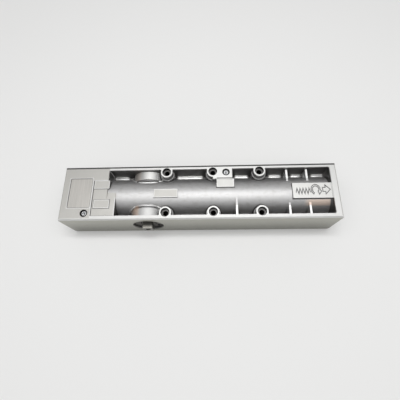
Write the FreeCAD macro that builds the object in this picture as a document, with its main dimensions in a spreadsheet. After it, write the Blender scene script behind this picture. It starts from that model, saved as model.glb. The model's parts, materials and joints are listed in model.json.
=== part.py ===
import FreeCAD, Part
import math
import os
import Sketcher

# Overhead door closer without its arm: a die-cast housing, open at the back, that holds a
# rack-and-pinion piston, its closing spring, a spring-force adjuster and three oil valves.
# The part lies on its front cover. X runs along the body, Y across it, and Z comes out of the
# mounting face. The origin is the middle of the cover's outer face. Sizes are millimetres.

SIZES = (
    # Housing
    ("body_length", 290, "length of the housing"),
    ("body_width", 60, "width over the two long sides"),
    ("body_depth", 47, "from the cover's outer face to the mounting face"),
    ("cover_depth", 3.2, "depth of the front cover, up to the parting line"),
    ("side_wall", 4.4, "long side wall"),
    ("end_wall", 6.6, "right end wall"),
    ("rim_chamfer", 1.2, "chamfer round the mounting face"),
    ("axis_height", 24, "height of the cylinder axis and of the pinion axis"),
    ("barrel_radius", 21.5, "outside of the cylinder barrel"),
    ("valley_radius", 2.2, "round bottom of the valley between barrel and side wall"),
    ("cut_over", 1, "how far a cut runs past the face it opens"),
    ("rooted", 1, "how far a rib or block is rooted in the wall it stands on"),
    ("trough_fillet", 1.6, "cast fillet at both ends of the hollow behind the barrel"),
    # Flat lands at the left end
    ("near_land", 57.6, "length of the flat land on the near side"),
    ("far_land", 48.5, "length of the flat land on the far side"),
    ("high_land", 33, "length of the land that is as high as the rim"),
    ("land_drop", 1, "how far the inner land lies below the rim"),
    ("far_strip", 14, "from the middle to the high strip on the far side"),
    # Shallow recess for a label
    ("label_left", 7.4, "from the left end to the label recess"),
    ("label_length", 24.4, "label recess along the body"),
    ("label_width", 33.4, "label recess across the body"),
    ("label_corner", 1.6, "corner radius of the label recess"),
    ("label_deep", 0.5, "depth of the label recess"),
    # Raised pads on the lands and on the barrel
    ("pad_rise", 0.8, "how far a pad stands above the top of the barrel"),
    ("pad_width", 9.2, "pads across the body"),
    ("middle_pad_x", -34.4, "middle of the pad beside the pinion"),
    ("middle_pad_y", -1.3, "the same, across the body"),
    ("middle_pad_length", 25, "that pad along the body"),
    ("valve_pad_x", 28.6, "middle of the pad beside the far channel plug"),
    ("valve_pad_y", 9.4, "the same, across the body"),
    ("valve_pad_length", 18.4, "that pad along the body"),
    ("far_pad_x", -103, "middle of the far pad on the inner land"),
    ("far_pad_y", 9.4, "the same, across the body"),
    ("near_pad_x", -101.6, "middle of the near pad on the inner land"),
    ("near_pad_y", -12.4, "the same, across the body"),
    ("land_pad_length", 16.4, "the two land pads along the body"),
    ("sign_plate_length", 40.6, "plate for the adjusting sign, from the end wall"),
    ("sign_plate_width", 16.6, "that plate across the body"),
    ("sign_plate_y", -0.6, "middle of that plate across the body"),
    # Ribs between barrel and side walls
    ("rib_thick", 2, "thickness of a rib"),
    ("rib_drop", 5.2, "how far the ribs near the spring end lie below the rim"),
    ("tall_rib_drop", 2.5, "the same for the rib in the middle"),
    ("tall_rib_x", 39.8, "place of the middle rib"),
    ("rib_x", 94.4, "place of the first pair of ribs"),
    ("rib_step", 21, "from the first pair of ribs to the second"),
    ("rib_pairs", 2, "pairs of ribs near the spring end"),
    # Fixing holes
    ("hole_first", 111, "from the left end to the first pair of fixing holes"),
    ("hole_step", 49.5, "from one pair of fixing holes to the next"),
    ("hole_pairs", 3, "pairs of fixing holes"),
    ("hole_row", 45, "between the two rows of fixing holes"),
    ("hole_radius", 2.75, "fixing hole"),
    ("hole_boss", 6.2, "radius of the boss round a fixing hole"),
    ("back_bore", 4.7, "radius of the wide mouth of a fixing hole at the back"),
    ("back_bore_deep", 4.5, "depth of that mouth"),
    ("head_bore", 5, "radius of the screw head's seat at the front"),
    ("head_bore_deep", 12, "depth of that seat"),
    ("head_boss", 7.6, "radius of the stouter boss round a screw head's seat"),
    ("head_boss_drop", 7, "from the rim down to the top of that boss"),
    ("boss_fillet", 0.8, "cast fillet between the two bosses"),
    ("wall_fillet", 1, "cast fillet between a boss and the side wall"),
    # Channel plugs
    ("plug_mouth", 4, "radius of the mouth round a channel plug"),
    ("plug_mouth_deep", 3, "depth of that mouth"),
    ("plug_radius", 3, "channel plug"),
    ("plug_length", 7, "length of a channel plug"),
    ("plug_sunk", 1.2, "from the rim down to a plug's face"),
    ("plug_key", 3, "hexagon of a plug, across flats"),
    ("plug_key_deep", 2.5, "depth of that hexagon"),
    ("plug_channel", 2, "radius of the oil channel under a plug"),
    ("plug_channel_deep", 5, "its depth under the plug"),
    ("near_plug_x", 26.3, "near plug, from the left end"),
    ("far_plug_step", 14.1, "far plug, from the middle fixing hole"),
    ("far_plug_inset", 1, "far plug, inwards from the row of fixing holes"),
    ("far_block", 20.5, "length of the block that holds the far plug"),
    # Pinion bosses, bearings and spindle
    ("pinion_x", 90, "pinion axis, from the left end"),
    ("boss_radius", 18.8, "boss round a pinion bearing"),
    ("lip_radius", 20.8, "lip where the boss leaves the barrel"),
    ("lip_start", 13.3, "from the middle to the lip"),
    ("lip_width", 1.5, "width of the lip"),
    ("groove_radius", 17.3, "groove between lip and boss"),
    ("groove_width", 1.5, "width of that groove"),
    ("recess_radius", 16.5, "round recess in a long side"),
    ("nut_sunk", 2.5, "from the long side to the bearing nut's face"),
    ("nut_seat", 19.5, "from the middle to the seat of a bearing nut"),
    ("gear_bore", 13.4, "bore that the pinion is put in through"),
    ("nut_lip", 2, "lip of the bearing nut that holds the seal in"),
    ("nut_mouth", 8.6, "hole in that lip"),
    ("nut_key", 1.7, "radius of a spanner hole"),
    ("nut_key_circle", 12, "radius of the circle of spanner holes"),
    ("nut_key_deep", 3, "depth of a spanner hole"),
    ("nut_keys", 4, "spanner holes in a bearing nut"),
    ("nut_key_turn", 55, "degrees that the first spanner hole is turned"),
    ("bearing_outer", 10.5, "outside of bearing and seal"),
    ("bearing_length", 3.8, "length of a pinion bearing"),
    ("journal_radius", 7.5, "pinion journal"),
    ("shoulder_radius", 8.4, "pinion between its gear and its bearings"),
    ("shoulder_gap", 0.3, "end play between shoulder and bearing"),
    ("spindle_square", 11, "square of the spindle ends, across flats"),
    ("square_length", 6.8, "length of a square spindle end"),
    ("spindle_proud", 4.5, "how far a spindle end stands out of the long side"),
    ("spindle_thread", 2.5, "tapping radius of the spindle end's screw hole"),
    ("spindle_thread_deep", 12, "depth of that hole"),
    # Gear and rack
    ("gear_module", 2, "module of gear and rack"),
    ("gear_teeth", 10, "teeth of the pinion"),
    ("gear_shift", 0.5, "profile shift of the pinion, in modules"),
    ("gear_root", 1.25, "depth of a tooth below its pitch line, in modules"),
    ("gear_tip_cut", 0.4, "how much the tips are shortened"),
    ("tooth_rooted", 0.85, "how far a tooth is rooted inside the root circle"),
    ("gear_width", 20, "width of the gear"),
    ("pressure_angle", 20, "degrees"),
    ("backlash", 0.2, "play between gear and rack"),
    ("rack_teeth", 8, "teeth of the rack"),
    ("rack_width", 21, "width of the rack"),
    ("door_angle", 180, "degrees that the door opens"),
    ("tip_room", 0.9, "room round the tips of the gear in the piston"),
    # Cylinder bore, piston and check valve
    ("bore_radius", 17.5, "cylinder bore"),
    ("bore_start", 24, "from the left end to the bottom of the bore"),
    ("running_gap", 0.05, "radial play of what turns or slides"),
    ("fixed_gap", 0.05, "radial play of what is screwed or pressed in"),
    ("left_head", 14, "length of the piston's left head"),
    ("right_head", 15, "length of the piston's right head"),
    ("ring_place", 5, "from the piston's left face to its ring"),
    ("ring_width", 3, "width of the piston ring"),
    ("ring_thick", 1.7, "radial thickness of the piston ring"),
    ("valve_pocket", 3, "bores in the piston heads for its valves"),
    ("valve_pocket_deep", 9, "their depth"),
    ("valve_port", 1.6, "oil port behind a piston valve"),
    ("ball_radius", 2.5, "check-valve ball"),
    ("retainer_length", 3, "ring that keeps the ball in"),
    ("retainer_port", 1.3, "hole in that ring"),
    # Spring and its adjuster
    ("spring_radius", 13.5, "mean radius of the closing spring"),
    ("spring_wire", 2.2, "wire radius of the closing spring"),
    ("spring_turns", 11, "turns of the closing spring"),
    ("spring_gap", 0.1, "room at each end of the spring"),
    ("cap_seat", 15.5, "from the right end to the seat of the end cap"),
    ("cap_radius", 19.5, "bore for the end cap"),
    ("cap_sunk", 1, "from the right end to the cap's face"),
    ("cap_recess", 10, "radius of the recess in the cap's face"),
    ("cap_recess_deep", 3.2, "depth of that recess"),
    ("cap_key", 2, "radius of a spanner hole in the cap"),
    ("cap_key_circle", 14.5, "radius of the circle of spanner holes"),
    ("cap_key_deep", 4, "depth of a spanner hole"),
    ("cap_keys", 2, "spanner holes in the cap"),
    ("cap_ring_place", 4, "from the cap's inner face to its sealing ring"),
    ("cap_cord", 1.6, "thickness of the cap's sealing ring"),
    ("neck_radius", 6, "neck of the adjusting screw"),
    ("neck_cord", 1.1, "thickness of the neck's sealing ring"),
    ("neck_ring_place", 5, "from the cap's inner face to that ring"),
    ("collar_radius", 9, "collar of the adjusting screw"),
    ("collar_width", 3, "width of that collar"),
    ("washer_thick", 1.5, "thrust washer"),
    ("washer_radius", 11, "outside of the thrust washer"),
    ("screw_radius", 5, "thread of the adjusting screw"),
    ("screw_length", 33, "length of that thread"),
    ("screw_key", 6, "hexagon of the adjusting screw, across flats"),
    ("screw_key_deep", 6, "depth of that hexagon"),
    ("clip_thick", 1, "circlip on the adjusting screw"),
    ("clip_radius", 8, "outside of the circlip"),
    ("clip_groove", 0.7, "depth of the circlip's groove"),
    ("clip_angle", 320, "degrees that the circlip covers"),
    ("seat_place", 11.5, "from the cap's inner face to the spring seat"),
    ("seat_thick", 6, "flange of the spring seat"),
    ("seat_hub", 9, "radius of the spring seat's hub"),
    ("seat_hub_length", 14, "length of that hub"),
    # Oil valves
    ("valve_radius", 3.5, "bore of an oil valve"),
    ("valve_length", 11, "length of that bore"),
    ("valve_sunk", 0.8, "from the parting line to a valve's head"),
    ("valve_tip", 2, "bore for a valve's needle"),
    ("valve_tip_length", 5, "length of that bore"),
    ("valve_cord", 1, "thickness of a valve's sealing ring"),
    ("valve_ring_place", 3, "from a valve's head to the far side of its sealing ring's groove"),
    ("valve_slot", 1, "width of a valve's screwdriver slot"),
    ("valve_slot_deep", 1.4, "depth of that slot"),
    ("speed_valve_x", 13, "the two speed valves, from the left end"),
    ("speed_valve_step", 22, "from one speed valve to the other"),
    # Front cover
    ("cover_plate", 1.6, "thickness of the cover"),
    ("cover_edge", 1.2, "rounding of the cover's outer edges"),
    ("tab_length", 9, "snap tab of the cover"),
    ("tab_thick", 1.2, "its thickness"),
    ("tab_height", 7, "its height above the parting line"),
    ("tab_gap", 0.2, "room between a tab and the side wall"),
    ("tab_first", 65, "from the left end to the first pair of tabs"),
    ("tab_step", 80, "from one pair of tabs to the next"),
    ("tab_pairs", 3, "pairs of tabs"),
)


class Dim:
    """A size together with the sheet formula that gives it."""

    def __init__(self, value, formula):
        self.value = float(value)
        self.formula = formula

    @staticmethod
    def of(item):
        return item if isinstance(item, Dim) else Dim(item, repr(float(item)))

    def __add__(self, other):
        other = Dim.of(other)
        return Dim(self.value + other.value, f"({self.formula} + {other.formula})")

    def __sub__(self, other):
        other = Dim.of(other)
        return Dim(self.value - other.value, f"({self.formula} - {other.formula})")

    def __mul__(self, other):
        other = Dim.of(other)
        return Dim(self.value * other.value, f"({self.formula} * {other.formula})")

    def __truediv__(self, other):
        other = Dim.of(other)
        return Dim(self.value / other.value, f"({self.formula} / {other.formula})")

    def __neg__(self):
        return self * -1

    def __radd__(self, other):
        return Dim.of(other) + self

    def __rsub__(self, other):
        return Dim.of(other) - self

    def __rmul__(self, other):
        return Dim.of(other) * self

    def sqrt(self):
        return Dim(math.sqrt(self.value), f"sqrt({self.formula})")


CLOSE = 1e-6  # lengths that differ by less are equal

doc = FreeCAD.newDocument("DoorCloser")
sheet = doc.addObject("Spreadsheet::Sheet", "Sizes")


class Sizes:
    """Every size of the sheet, by its alias."""


for row, (alias, number, meaning) in enumerate(SIZES, start=1):
    sheet.set(f"A{row}", meaning)
    sheet.set(f"B{row}", str(number))
    sheet.setAlias(f"B{row}", alias)
    setattr(Sizes, alias, Dim(number, f"Sizes.{alias}"))
doc.recompute()
S = Sizes

# Places that follow from the sizes

left_x = -S.body_length / 2
right_x = S.body_length / 2
wall_y = S.body_width / 2 - S.side_wall
pocket_right = right_x - S.end_wall
near_edge = left_x + S.near_land
far_edge = left_x + S.far_land
high_edge = left_x + S.high_land
barrel_top = S.axis_height + S.barrel_radius
pad_top = barrel_top + S.pad_rise
land_top = S.body_depth - S.land_drop
pinion_x = left_x + S.pinion_x
spindle_end = S.body_width / 2 + S.spindle_proud
nut_face = S.body_width / 2 - S.nut_sunk
hole_x = [left_x + S.hole_first + S.hole_step * i for i in range(int(S.hole_pairs.value))]
hole_y = S.hole_row / 2
pitch_radius = S.gear_module * S.gear_teeth / 2
tip_radius = pitch_radius + S.gear_module * (S.gear_shift + 1) - S.gear_tip_cut
root_radius = pitch_radius + S.gear_module * (S.gear_shift - S.gear_root)
rack_datum = pitch_radius + S.gear_module * S.gear_shift
rack_root = rack_datum + S.gear_module * S.gear_root
tooth_pitch = S.gear_module * math.pi
travel = pitch_radius * S.door_angle * (math.pi / 180)
window_right = pinion_x + tip_radius + S.tip_room
window_left = pinion_x - tip_radius - S.tip_room - travel
piston_left = window_left - S.left_head
piston_right = window_right + S.right_head
piston_radius = S.bore_radius - S.running_gap
cap_inner = right_x - S.cap_seat
cap_outer = right_x - S.cap_sunk
seat_right = cap_inner - S.seat_place
seat_left = seat_right - S.seat_thick
plug_places = (
    (left_x + S.near_plug_x, -hole_y),
    (hole_x[1] + S.far_plug_step, hole_y - S.far_plug_inset),
)
speed_valve_x = left_x + S.speed_valve_x
valve_places = {
    "closing_speed_valve": (speed_valve_x, S.speed_valve_step / 2),
    "latching_speed_valve": (speed_valve_x, -S.speed_valve_step / 2),
    "backcheck_valve": plug_places[1],
}

nodes = []


# Helpers for sketches and features

def bind(item, path, size):
    """Ties one property of an object to its formula in the sheet."""
    item.setExpression(path, Dim.of(size).formula)


def new_body(label):
    body = doc.addObject("PartDesign::Body", label)
    body.Label = label
    return body


def sketch_on(body, name, role, x=0, y=0, z=0):
    """A sketch on one of the body's own planes, moved by x, y and z in the sketch's own axes."""
    sketch = body.newObject("Sketcher::SketchObject", f"{body.Name}_{name}")
    plane = next(item for item in body.Origin.OriginFeatures if item.Role == role)
    sketch.AttachmentSupport = [(plane, "")]
    sketch.MapMode = "FlatFace"
    for axis, size in zip("xyz", (x, y, z)):
        bind(sketch, f"AttachmentOffset.Base.{axis}", size)
    return sketch


def hold(sketch, kind, *references, size):
    """Adds a constraint whose value comes from the sheet."""
    size = Dim.of(size)
    index = sketch.addConstraint(Sketcher.Constraint(kind, *references, size.value))
    sketch.setExpression(f"Constraints[{index}]", size.formula)


def hold_point(sketch, geometry, point, x, y):
    """Holds a point of a sketch at x, y from the sketch's origin."""
    for kind, line, size in (("DistanceX", -2, Dim.of(x)), ("DistanceY", -1, Dim.of(y))):
        if size.value == 0:
            sketch.addConstraint(Sketcher.Constraint("PointOnObject", geometry, point, line))
        else:
            hold(sketch, kind, -1, 1, geometry, point, size=size)


def draw_outline(sketch, points):
    """A closed outline of straight lines."""
    spots = [FreeCAD.Vector(Dim.of(x).value, Dim.of(y).value, 0) for x, y in points]
    lines = [Part.LineSegment(a, b) for a, b in zip(spots, spots[1:] + spots[:1])]
    first = sketch.addGeometry(lines)[0]
    count = len(points)
    for i, (x, y) in enumerate(points):
        following = first + (i + 1) % count
        sketch.addConstraint(Sketcher.Constraint("Coincident", first + i, 2, following, 1))
        hold_point(sketch, first + i, 1, x, y)


def draw_box(sketch, x0, x1, y0, y1):
    draw_outline(sketch, ((x0, y0), (x1, y0), (x1, y1), (x0, y1)))


def draw_circle(sketch, x, y, radius):
    centre = FreeCAD.Vector(Dim.of(x).value, Dim.of(y).value, 0)
    circle = Part.Circle(centre, FreeCAD.Vector(0, 0, 1), radius.value)
    index = sketch.addGeometry(circle)
    hold_point(sketch, index, 3, x, y)
    hold(sketch, "Radius", index, size=radius)


def draw_hexagon(sketch, across_flats):
    corner = across_flats / math.sqrt(3)
    angles = [math.radians(60 * i) for i in range(6)]
    draw_outline(sketch, [(corner * math.cos(a), corner * math.sin(a)) for a in angles])


def add(body, sketch, length, both_ways=False):
    """Pads a sketch along its normal, or by half the length each way."""
    pad = body.newObject("PartDesign::Pad", f"{sketch.Name}_pad")
    pad.Profile = sketch
    bind(pad, "Length", length)
    if both_ways:
        pad.SideType = "Symmetric"
    doc.recompute()
    return pad


def cut(body, sketch, length, along_normal=False, both_ways=False):
    """Cuts a sketch out against its normal, along it or both ways, and proves that it cut."""
    before = body.Shape.Volume
    pocket = body.newObject("PartDesign::Pocket", f"{sketch.Name}_cut")
    pocket.Profile = sketch
    bind(pocket, "Length", length)
    pocket.Reversed = along_normal
    if both_ways:
        pocket.SideType = "Symmetric"
    doc.recompute()
    if not body.Shape.Volume < before:
        raise ValueError(f"{sketch.Name} cuts nothing")
    return pocket


def turn(body, sketch, kind, axis, angle=360):
    """Turns a sketch about one of its own axes, as added or as removed material."""
    feature = body.newObject(f"PartDesign::{kind}", f"{sketch.Name}_turn")
    feature.Profile = sketch
    feature.ReferenceAxis = (sketch, [axis])
    bind(feature, "Angle", angle)
    doc.recompute()
    return feature


def repeat_round(body, feature, sketch, count):
    """Repeats a feature evenly round the sketch's normal."""
    pattern = body.newObject("PartDesign::PolarPattern", f"{feature.Name}_round")
    pattern.Originals = [feature]
    pattern.Axis = (sketch, ["N_Axis"])
    pattern.Angle = 360
    bind(pattern, "Occurrences", count)
    body.Tip = pattern
    doc.recompute()


def place(item, x, y, z, direction=(0, 0, 1)):
    """Puts a piece made along its own Z axis at x, y, z with that axis along direction."""
    rotation = FreeCAD.Rotation(FreeCAD.Vector(0, 0, 1), FreeCAD.Vector(*direction))
    item.Placement = FreeCAD.Placement(FreeCAD.Vector(0, 0, 0), rotation)
    for axis, size in zip("xyz", (x, y, z)):
        bind(item, f"Placement.Base.{axis}", size)


def turned(label, points, angle=360):
    """A piece turned about its own Z axis from points given as radius and height."""
    body = new_body(label)
    sketch = sketch_on(body, "profile", "XZ_Plane")
    draw_outline(sketch, points)
    turn(body, sketch, "Revolution", "V_Axis", angle)
    return body


def ring(label, inner, outer, start, end):
    return turned(label, ((inner, start), (outer, start), (outer, end), (inner, end)))


def sealing_ring(label, inner, cord):
    """A round sealing ring about its own Z axis."""
    torus = doc.addObject("Part::Torus", label)
    torus.Label = label
    bind(torus, "Radius1", inner + cord / 2)
    bind(torus, "Radius2", cord / 2)
    return torus


def key_socket(body, across_flats, top, depth):
    """A hexagon socket in the end of a turned piece."""
    sketch = sketch_on(body, "key", "XY_Plane", z=top)
    draw_hexagon(sketch, across_flats)
    cut(body, sketch, depth)


def node(item):
    nodes.append(item)
    return item


# Housing

def draw_trough(sketch, side, open_end):
    """Section of the hollow behind (side 1) or in front of (side -1) the barrel.

    A side wall, a round valley, the barrel, a second valley and the other side wall,
    each tangent to the next, closed by a straight line outside the casting.
    """
    centre_x = wall_y - S.valley_radius
    reach = S.barrel_radius + S.valley_radius
    rise = (reach * reach - centre_x * centre_x).sqrt()
    valley_z = S.axis_height + rise * side
    lean = math.atan2(rise.value, centre_x.value)
    normal = FreeCAD.Vector(0, 0, 1)
    half_turn = math.pi

    def spot(x, y):
        return FreeCAD.Vector(Dim.of(x).value, Dim.of(y).value, 0)

    def arc(x, y, radius, start, end):
        return Part.ArcOfCircle(Part.Circle(spot(x, y), normal, radius.value), start, end)

    if side > 0:
        spans = ((half_turn + lean, 2 * half_turn), (lean, half_turn - lean),
                 (half_turn, 2 * half_turn - lean))
    else:
        spans = ((0, half_turn - lean), (half_turn + lean, 2 * half_turn - lean),
                 (lean, half_turn))
    far_wall, far_valley, barrel, near_valley, near_wall, closing = range(6)
    sketch.addGeometry([
        Part.LineSegment(spot(wall_y, open_end), spot(wall_y, valley_z)),
        arc(centre_x, valley_z, S.valley_radius, *spans[0]),
        arc(0, S.axis_height, S.barrel_radius, *spans[1]),
        arc(-centre_x, valley_z, S.valley_radius, *spans[2]),
        Part.LineSegment(spot(-wall_y, valley_z), spot(-wall_y, open_end)),
        Part.LineSegment(spot(-wall_y, open_end), spot(wall_y, open_end)),
    ])
    one, two = (1, 2) if side > 0 else (2, 1)
    for first, first_end, second, second_end in (
        (far_wall, 2, far_valley, two), (far_valley, one, barrel, one),
        (barrel, two, near_valley, two), (near_valley, one, near_wall, 1),
    ):
        sketch.addConstraint(Sketcher.Constraint("Tangent", first, first_end, second, second_end))
    sketch.addConstraint(Sketcher.Constraint("Coincident", near_wall, 2, closing, 1))
    sketch.addConstraint(Sketcher.Constraint("Coincident", closing, 2, far_wall, 1))
    sketch.addConstraint(Sketcher.Constraint("Vertical", far_wall))
    sketch.addConstraint(Sketcher.Constraint("Vertical", near_wall))
    hold_point(sketch, barrel, 3, 0, S.axis_height)
    hold(sketch, "Radius", barrel, size=S.barrel_radius)
    hold(sketch, "Radius", far_valley, size=S.valley_radius)
    hold(sketch, "Radius", near_valley, size=S.valley_radius)
    hold_point(sketch, far_wall, 1, wall_y, open_end)
    hold_point(sketch, near_wall, 2, -wall_y, open_end)


def raised_block(body, name, x0, x1, y0, y1, top, base):
    sketch = sketch_on(body, name, "XY_Plane", z=base)
    draw_box(sketch, x0, x1, y0, y1)
    add(body, sketch, top - base)


def pad_block(body, name, x, y, length, width, top):
    """A bare raised pad, rooted in the barrel or the land below it."""
    raised_block(body, name, x - length / 2, x + length / 2, y - width / 2, y + width / 2,
                 top, S.axis_height)


def round_edges(body, name, radius, wanted):
    """Rounds the edges of the body for which wanted is true."""
    solid = body.Tip
    fillet = body.newObject("PartDesign::Fillet", f"{body.Name}_{name}")
    edges = [f"Edge{i}" for i, edge in enumerate(solid.Shape.Edges, start=1) if wanted(edge)]
    fillet.Base = (solid, edges)
    bind(fillet, "Radius", radius)
    doc.recompute()


def round_trough_ends(body):
    """Cast fillets where the two ends of the back trough meet its floor and walls."""
    def at_end(edge):
        box = edge.BoundBox
        ends = [abs(box.XMin - end.value) < CLOSE for end in (far_edge, pocket_right)]
        return any(ends) and box.XLength < CLOSE and box.ZMin < S.body_depth.value - CLOSE

    round_edges(body, "trough_fillets", S.trough_fillet, at_end)


def draw_wall_boss(sketch, x, y, radius):
    """A round boss at x, y that ends in a flat inside the nearer side wall."""
    side = math.copysign(1, y.value)
    flat = (wall_y + S.rooted) * side
    lean = math.asin((abs(flat.value) - abs(y.value)) / radius.value)
    start, end = (math.pi - lean, 2 * math.pi + lean) if side > 0 else (-lean, math.pi + lean)
    centre = FreeCAD.Vector(x.value, y.value, 0)
    circle = Part.Circle(centre, FreeCAD.Vector(0, 0, 1), radius.value)
    arc = Part.ArcOfCircle(circle, start, end)
    first, chord = sketch.addGeometry([arc, Part.LineSegment(arc.EndPoint, arc.StartPoint)])
    sketch.addConstraint(Sketcher.Constraint("Coincident", first, 2, chord, 1))
    sketch.addConstraint(Sketcher.Constraint("Coincident", chord, 2, first, 1))
    sketch.addConstraint(Sketcher.Constraint("Horizontal", chord))
    hold_point(sketch, first, 3, x, y)
    hold(sketch, "Radius", first, size=radius)
    hold(sketch, "DistanceY", -1, 1, chord, 1, size=flat)


def add_screw_bosses(body, places):
    """Bosses of the fixing holes: a stout one round the screw head under a slim one up to the rim."""
    head_top = S.body_depth - S.head_boss_drop
    for name, radius, top in (("head_bosses", S.head_boss, head_top),
                              ("hole_bosses", S.hole_boss, S.body_depth)):
        sketch = sketch_on(body, name, "XY_Plane", z=S.cover_depth)
        for x, y in places:
            draw_wall_boss(sketch, x, y, radius)
        add(body, sketch, top - S.cover_depth)

    def from_head_top(edge):
        return abs(edge.BoundBox.ZMin - head_top.value) < CLOSE

    def in_corner(edge):
        return from_head_top(edge) and edge.BoundBox.XLength < CLOSE and edge.BoundBox.YLength < CLOSE

    def at_foot(edge):
        level = from_head_top(edge) and edge.BoundBox.ZLength < CLOSE
        return level and isinstance(edge.Curve, Part.Circle) and edge.Curve.Radius < S.head_boss.value

    round_edges(body, "wall_fillets", S.wall_fillet, in_corner)
    round_edges(body, "boss_fillets", S.boss_fillet, at_foot)


def add_pinion_bosses(body):
    """The round bosses that carry the pinion bearings, with a lip and a groove at the barrel."""
    lip_end = S.lip_start + S.lip_width
    groove_end = lip_end + S.groove_width
    for name, side in (("near_boss", -1), ("far_boss", 1)):
        sketch = sketch_on(body, name, "XY_Plane", x=pinion_x, z=S.axis_height)
        outer = S.body_width / 2 - S.rim_chamfer
        profile = (
            (0, S.lip_start), (S.lip_radius, S.lip_start), (S.lip_radius, lip_end),
            (S.groove_radius, lip_end), (S.groove_radius, groove_end),
            (S.boss_radius, groove_end), (S.boss_radius, outer), (0, outer),
        )
        draw_outline(sketch, [(radius, reach * side) for radius, reach in profile])
        turn(body, sketch, "Revolution", "V_Axis")


def add_ribs(body):
    ribs = [("tall_rib", S.tall_rib_x, -1, S.tall_rib_drop)]
    for i in range(int(S.rib_pairs.value)):
        for name, side in (("near_rib", -1), ("far_rib", 1)):
            ribs.append((f"{name}_{i}", S.rib_x + S.rib_step * i, side, S.rib_drop))
    for name, x, side, drop in ribs:
        in_wall = wall_y + S.rooted
        low, high = (0, in_wall) if side > 0 else (-in_wall, 0)
        half = S.rib_thick / 2
        raised_block(body, name, x - half, x + half, low, high, S.body_depth - drop, S.axis_height)


def bore_round(body, name, places, radius, depth, from_back):
    """Equal round holes along Z, from the mounting face down or from the parting line up."""
    sketch = sketch_on(body, name, "XY_Plane", z=S.body_depth if from_back else S.cover_depth)
    for x, y in places:
        draw_circle(sketch, x, y, radius)
    cut(body, sketch, depth, along_normal=not from_back)


def make_housing():
    body = new_body("housing")
    casting_depth = S.body_depth - S.cover_depth

    block = sketch_on(body, "block", "XY_Plane", z=S.cover_depth)
    draw_box(block, left_x, right_x, -S.body_width / 2, S.body_width / 2)
    solid = add(body, block, casting_depth)

    rim = body.newObject("PartDesign::Chamfer", "housing_rim")
    top_edges = [
        f"Edge{i}" for i, edge in enumerate(solid.Shape.Edges, start=1)
        if edge.BoundBox.ZMin > S.body_depth.value - S.rim_chamfer.value
    ]
    rim.Base = (solid, top_edges)
    bind(rim, "Size", S.rim_chamfer)
    doc.recompute()

    back = sketch_on(body, "back_trough", "YZ_Plane", z=pocket_right)
    draw_trough(back, 1, S.body_depth + S.cut_over)
    cut(body, back, pocket_right - far_edge)
    round_trough_ends(body)
    front = sketch_on(body, "front_trough", "YZ_Plane", z=pocket_right)
    draw_trough(front, -1, S.cover_depth - S.cut_over)
    cut(body, front, pocket_right - near_edge)

    land = sketch_on(body, "inner_land", "XY_Plane", z=S.body_depth)
    draw_box(land, high_edge, far_edge, -wall_y, S.far_strip)
    cut(body, land, S.land_drop)
    raised_block(body, "near_land", far_edge, near_edge, -wall_y, 0, land_top, S.axis_height)

    label = sketch_on(body, "label_recess", "XY_Plane", z=S.body_depth)
    label_left = left_x + S.label_left
    draw_box(label, label_left, label_left + S.label_length, -S.label_width / 2, S.label_width / 2)
    for corner in range(4):
        label.fillet(corner, 1, S.label_corner.value)
    cut(body, label, S.label_deep)

    hole_places = [(x, y) for x in hole_x for y in (-hole_y, hole_y)]
    add_screw_bosses(body, hole_places)
    raised_block(body, "plug_block", hole_x[1], hole_x[1] + S.far_block, S.far_strip,
                 wall_y + S.rooted, S.body_depth, S.cover_depth)
    add_pinion_bosses(body)
    add_ribs(body)

    pad_block(body, "middle_pad", S.middle_pad_x, S.middle_pad_y, S.middle_pad_length,
              S.pad_width, pad_top)
    pad_block(body, "valve_pad", S.valve_pad_x, S.valve_pad_y, S.valve_pad_length,
              S.pad_width, pad_top)
    land_pad_top = land_top + S.land_drop / 2
    pad_block(body, "far_pad", S.far_pad_x, S.far_pad_y, S.land_pad_length, S.pad_width,
              land_pad_top)
    pad_block(body, "near_pad", S.near_pad_x, S.near_pad_y, S.land_pad_length, S.pad_width,
              land_pad_top)
    plate_half = S.sign_plate_length / 2
    pad_block(body, "sign_plate", pocket_right - plate_half, S.sign_plate_y, S.sign_plate_length,
              S.sign_plate_width, pad_top)

    bore = sketch_on(body, "bore", "XZ_Plane", y=S.axis_height)
    bore_left = left_x + S.bore_start
    past_end = right_x + S.cut_over
    draw_outline(bore, (
        (bore_left, 0), (bore_left, S.bore_radius), (cap_inner, S.bore_radius),
        (cap_inner, S.cap_radius), (past_end, S.cap_radius), (past_end, 0),
    ))
    turn(body, bore, "Groove", "H_Axis")

    cross = sketch_on(body, "pinion_bore", "XY_Plane", x=pinion_x, z=S.axis_height)
    past_side = S.body_width / 2 + S.cut_over
    draw_outline(cross, (
        (0, -past_side), (S.recess_radius, -past_side), (S.recess_radius, -S.nut_seat),
        (S.gear_bore, -S.nut_seat), (S.gear_bore, S.nut_seat), (S.recess_radius, S.nut_seat),
        (S.recess_radius, past_side), (0, past_side),
    ))
    turn(body, cross, "Groove", "V_Axis")

    bore_round(body, "fixing_holes", hole_places, S.hole_radius, casting_depth, True)
    bore_round(body, "fixing_mouths", hole_places, S.back_bore, S.back_bore_deep, True)
    bore_round(body, "head_seats", hole_places, S.head_bore, S.head_bore_deep, False)
    plug_deep = S.plug_sunk + S.plug_length
    bore_round(body, "plug_mouths", plug_places, S.plug_mouth, S.plug_mouth_deep, True)
    bore_round(body, "plug_bores", plug_places, S.plug_radius, plug_deep, True)
    bore_round(body, "plug_channels", plug_places, S.plug_channel,
               plug_deep + S.plug_channel_deep, True)
    valve_spots = list(valve_places.values())
    bore_round(body, "valve_bores", valve_spots, S.valve_radius, S.valve_length, False)
    bore_round(body, "needle_bores", valve_spots, S.valve_tip,
               S.valve_length + S.valve_tip_length, False)
    return node(body)


# Front cover

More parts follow.
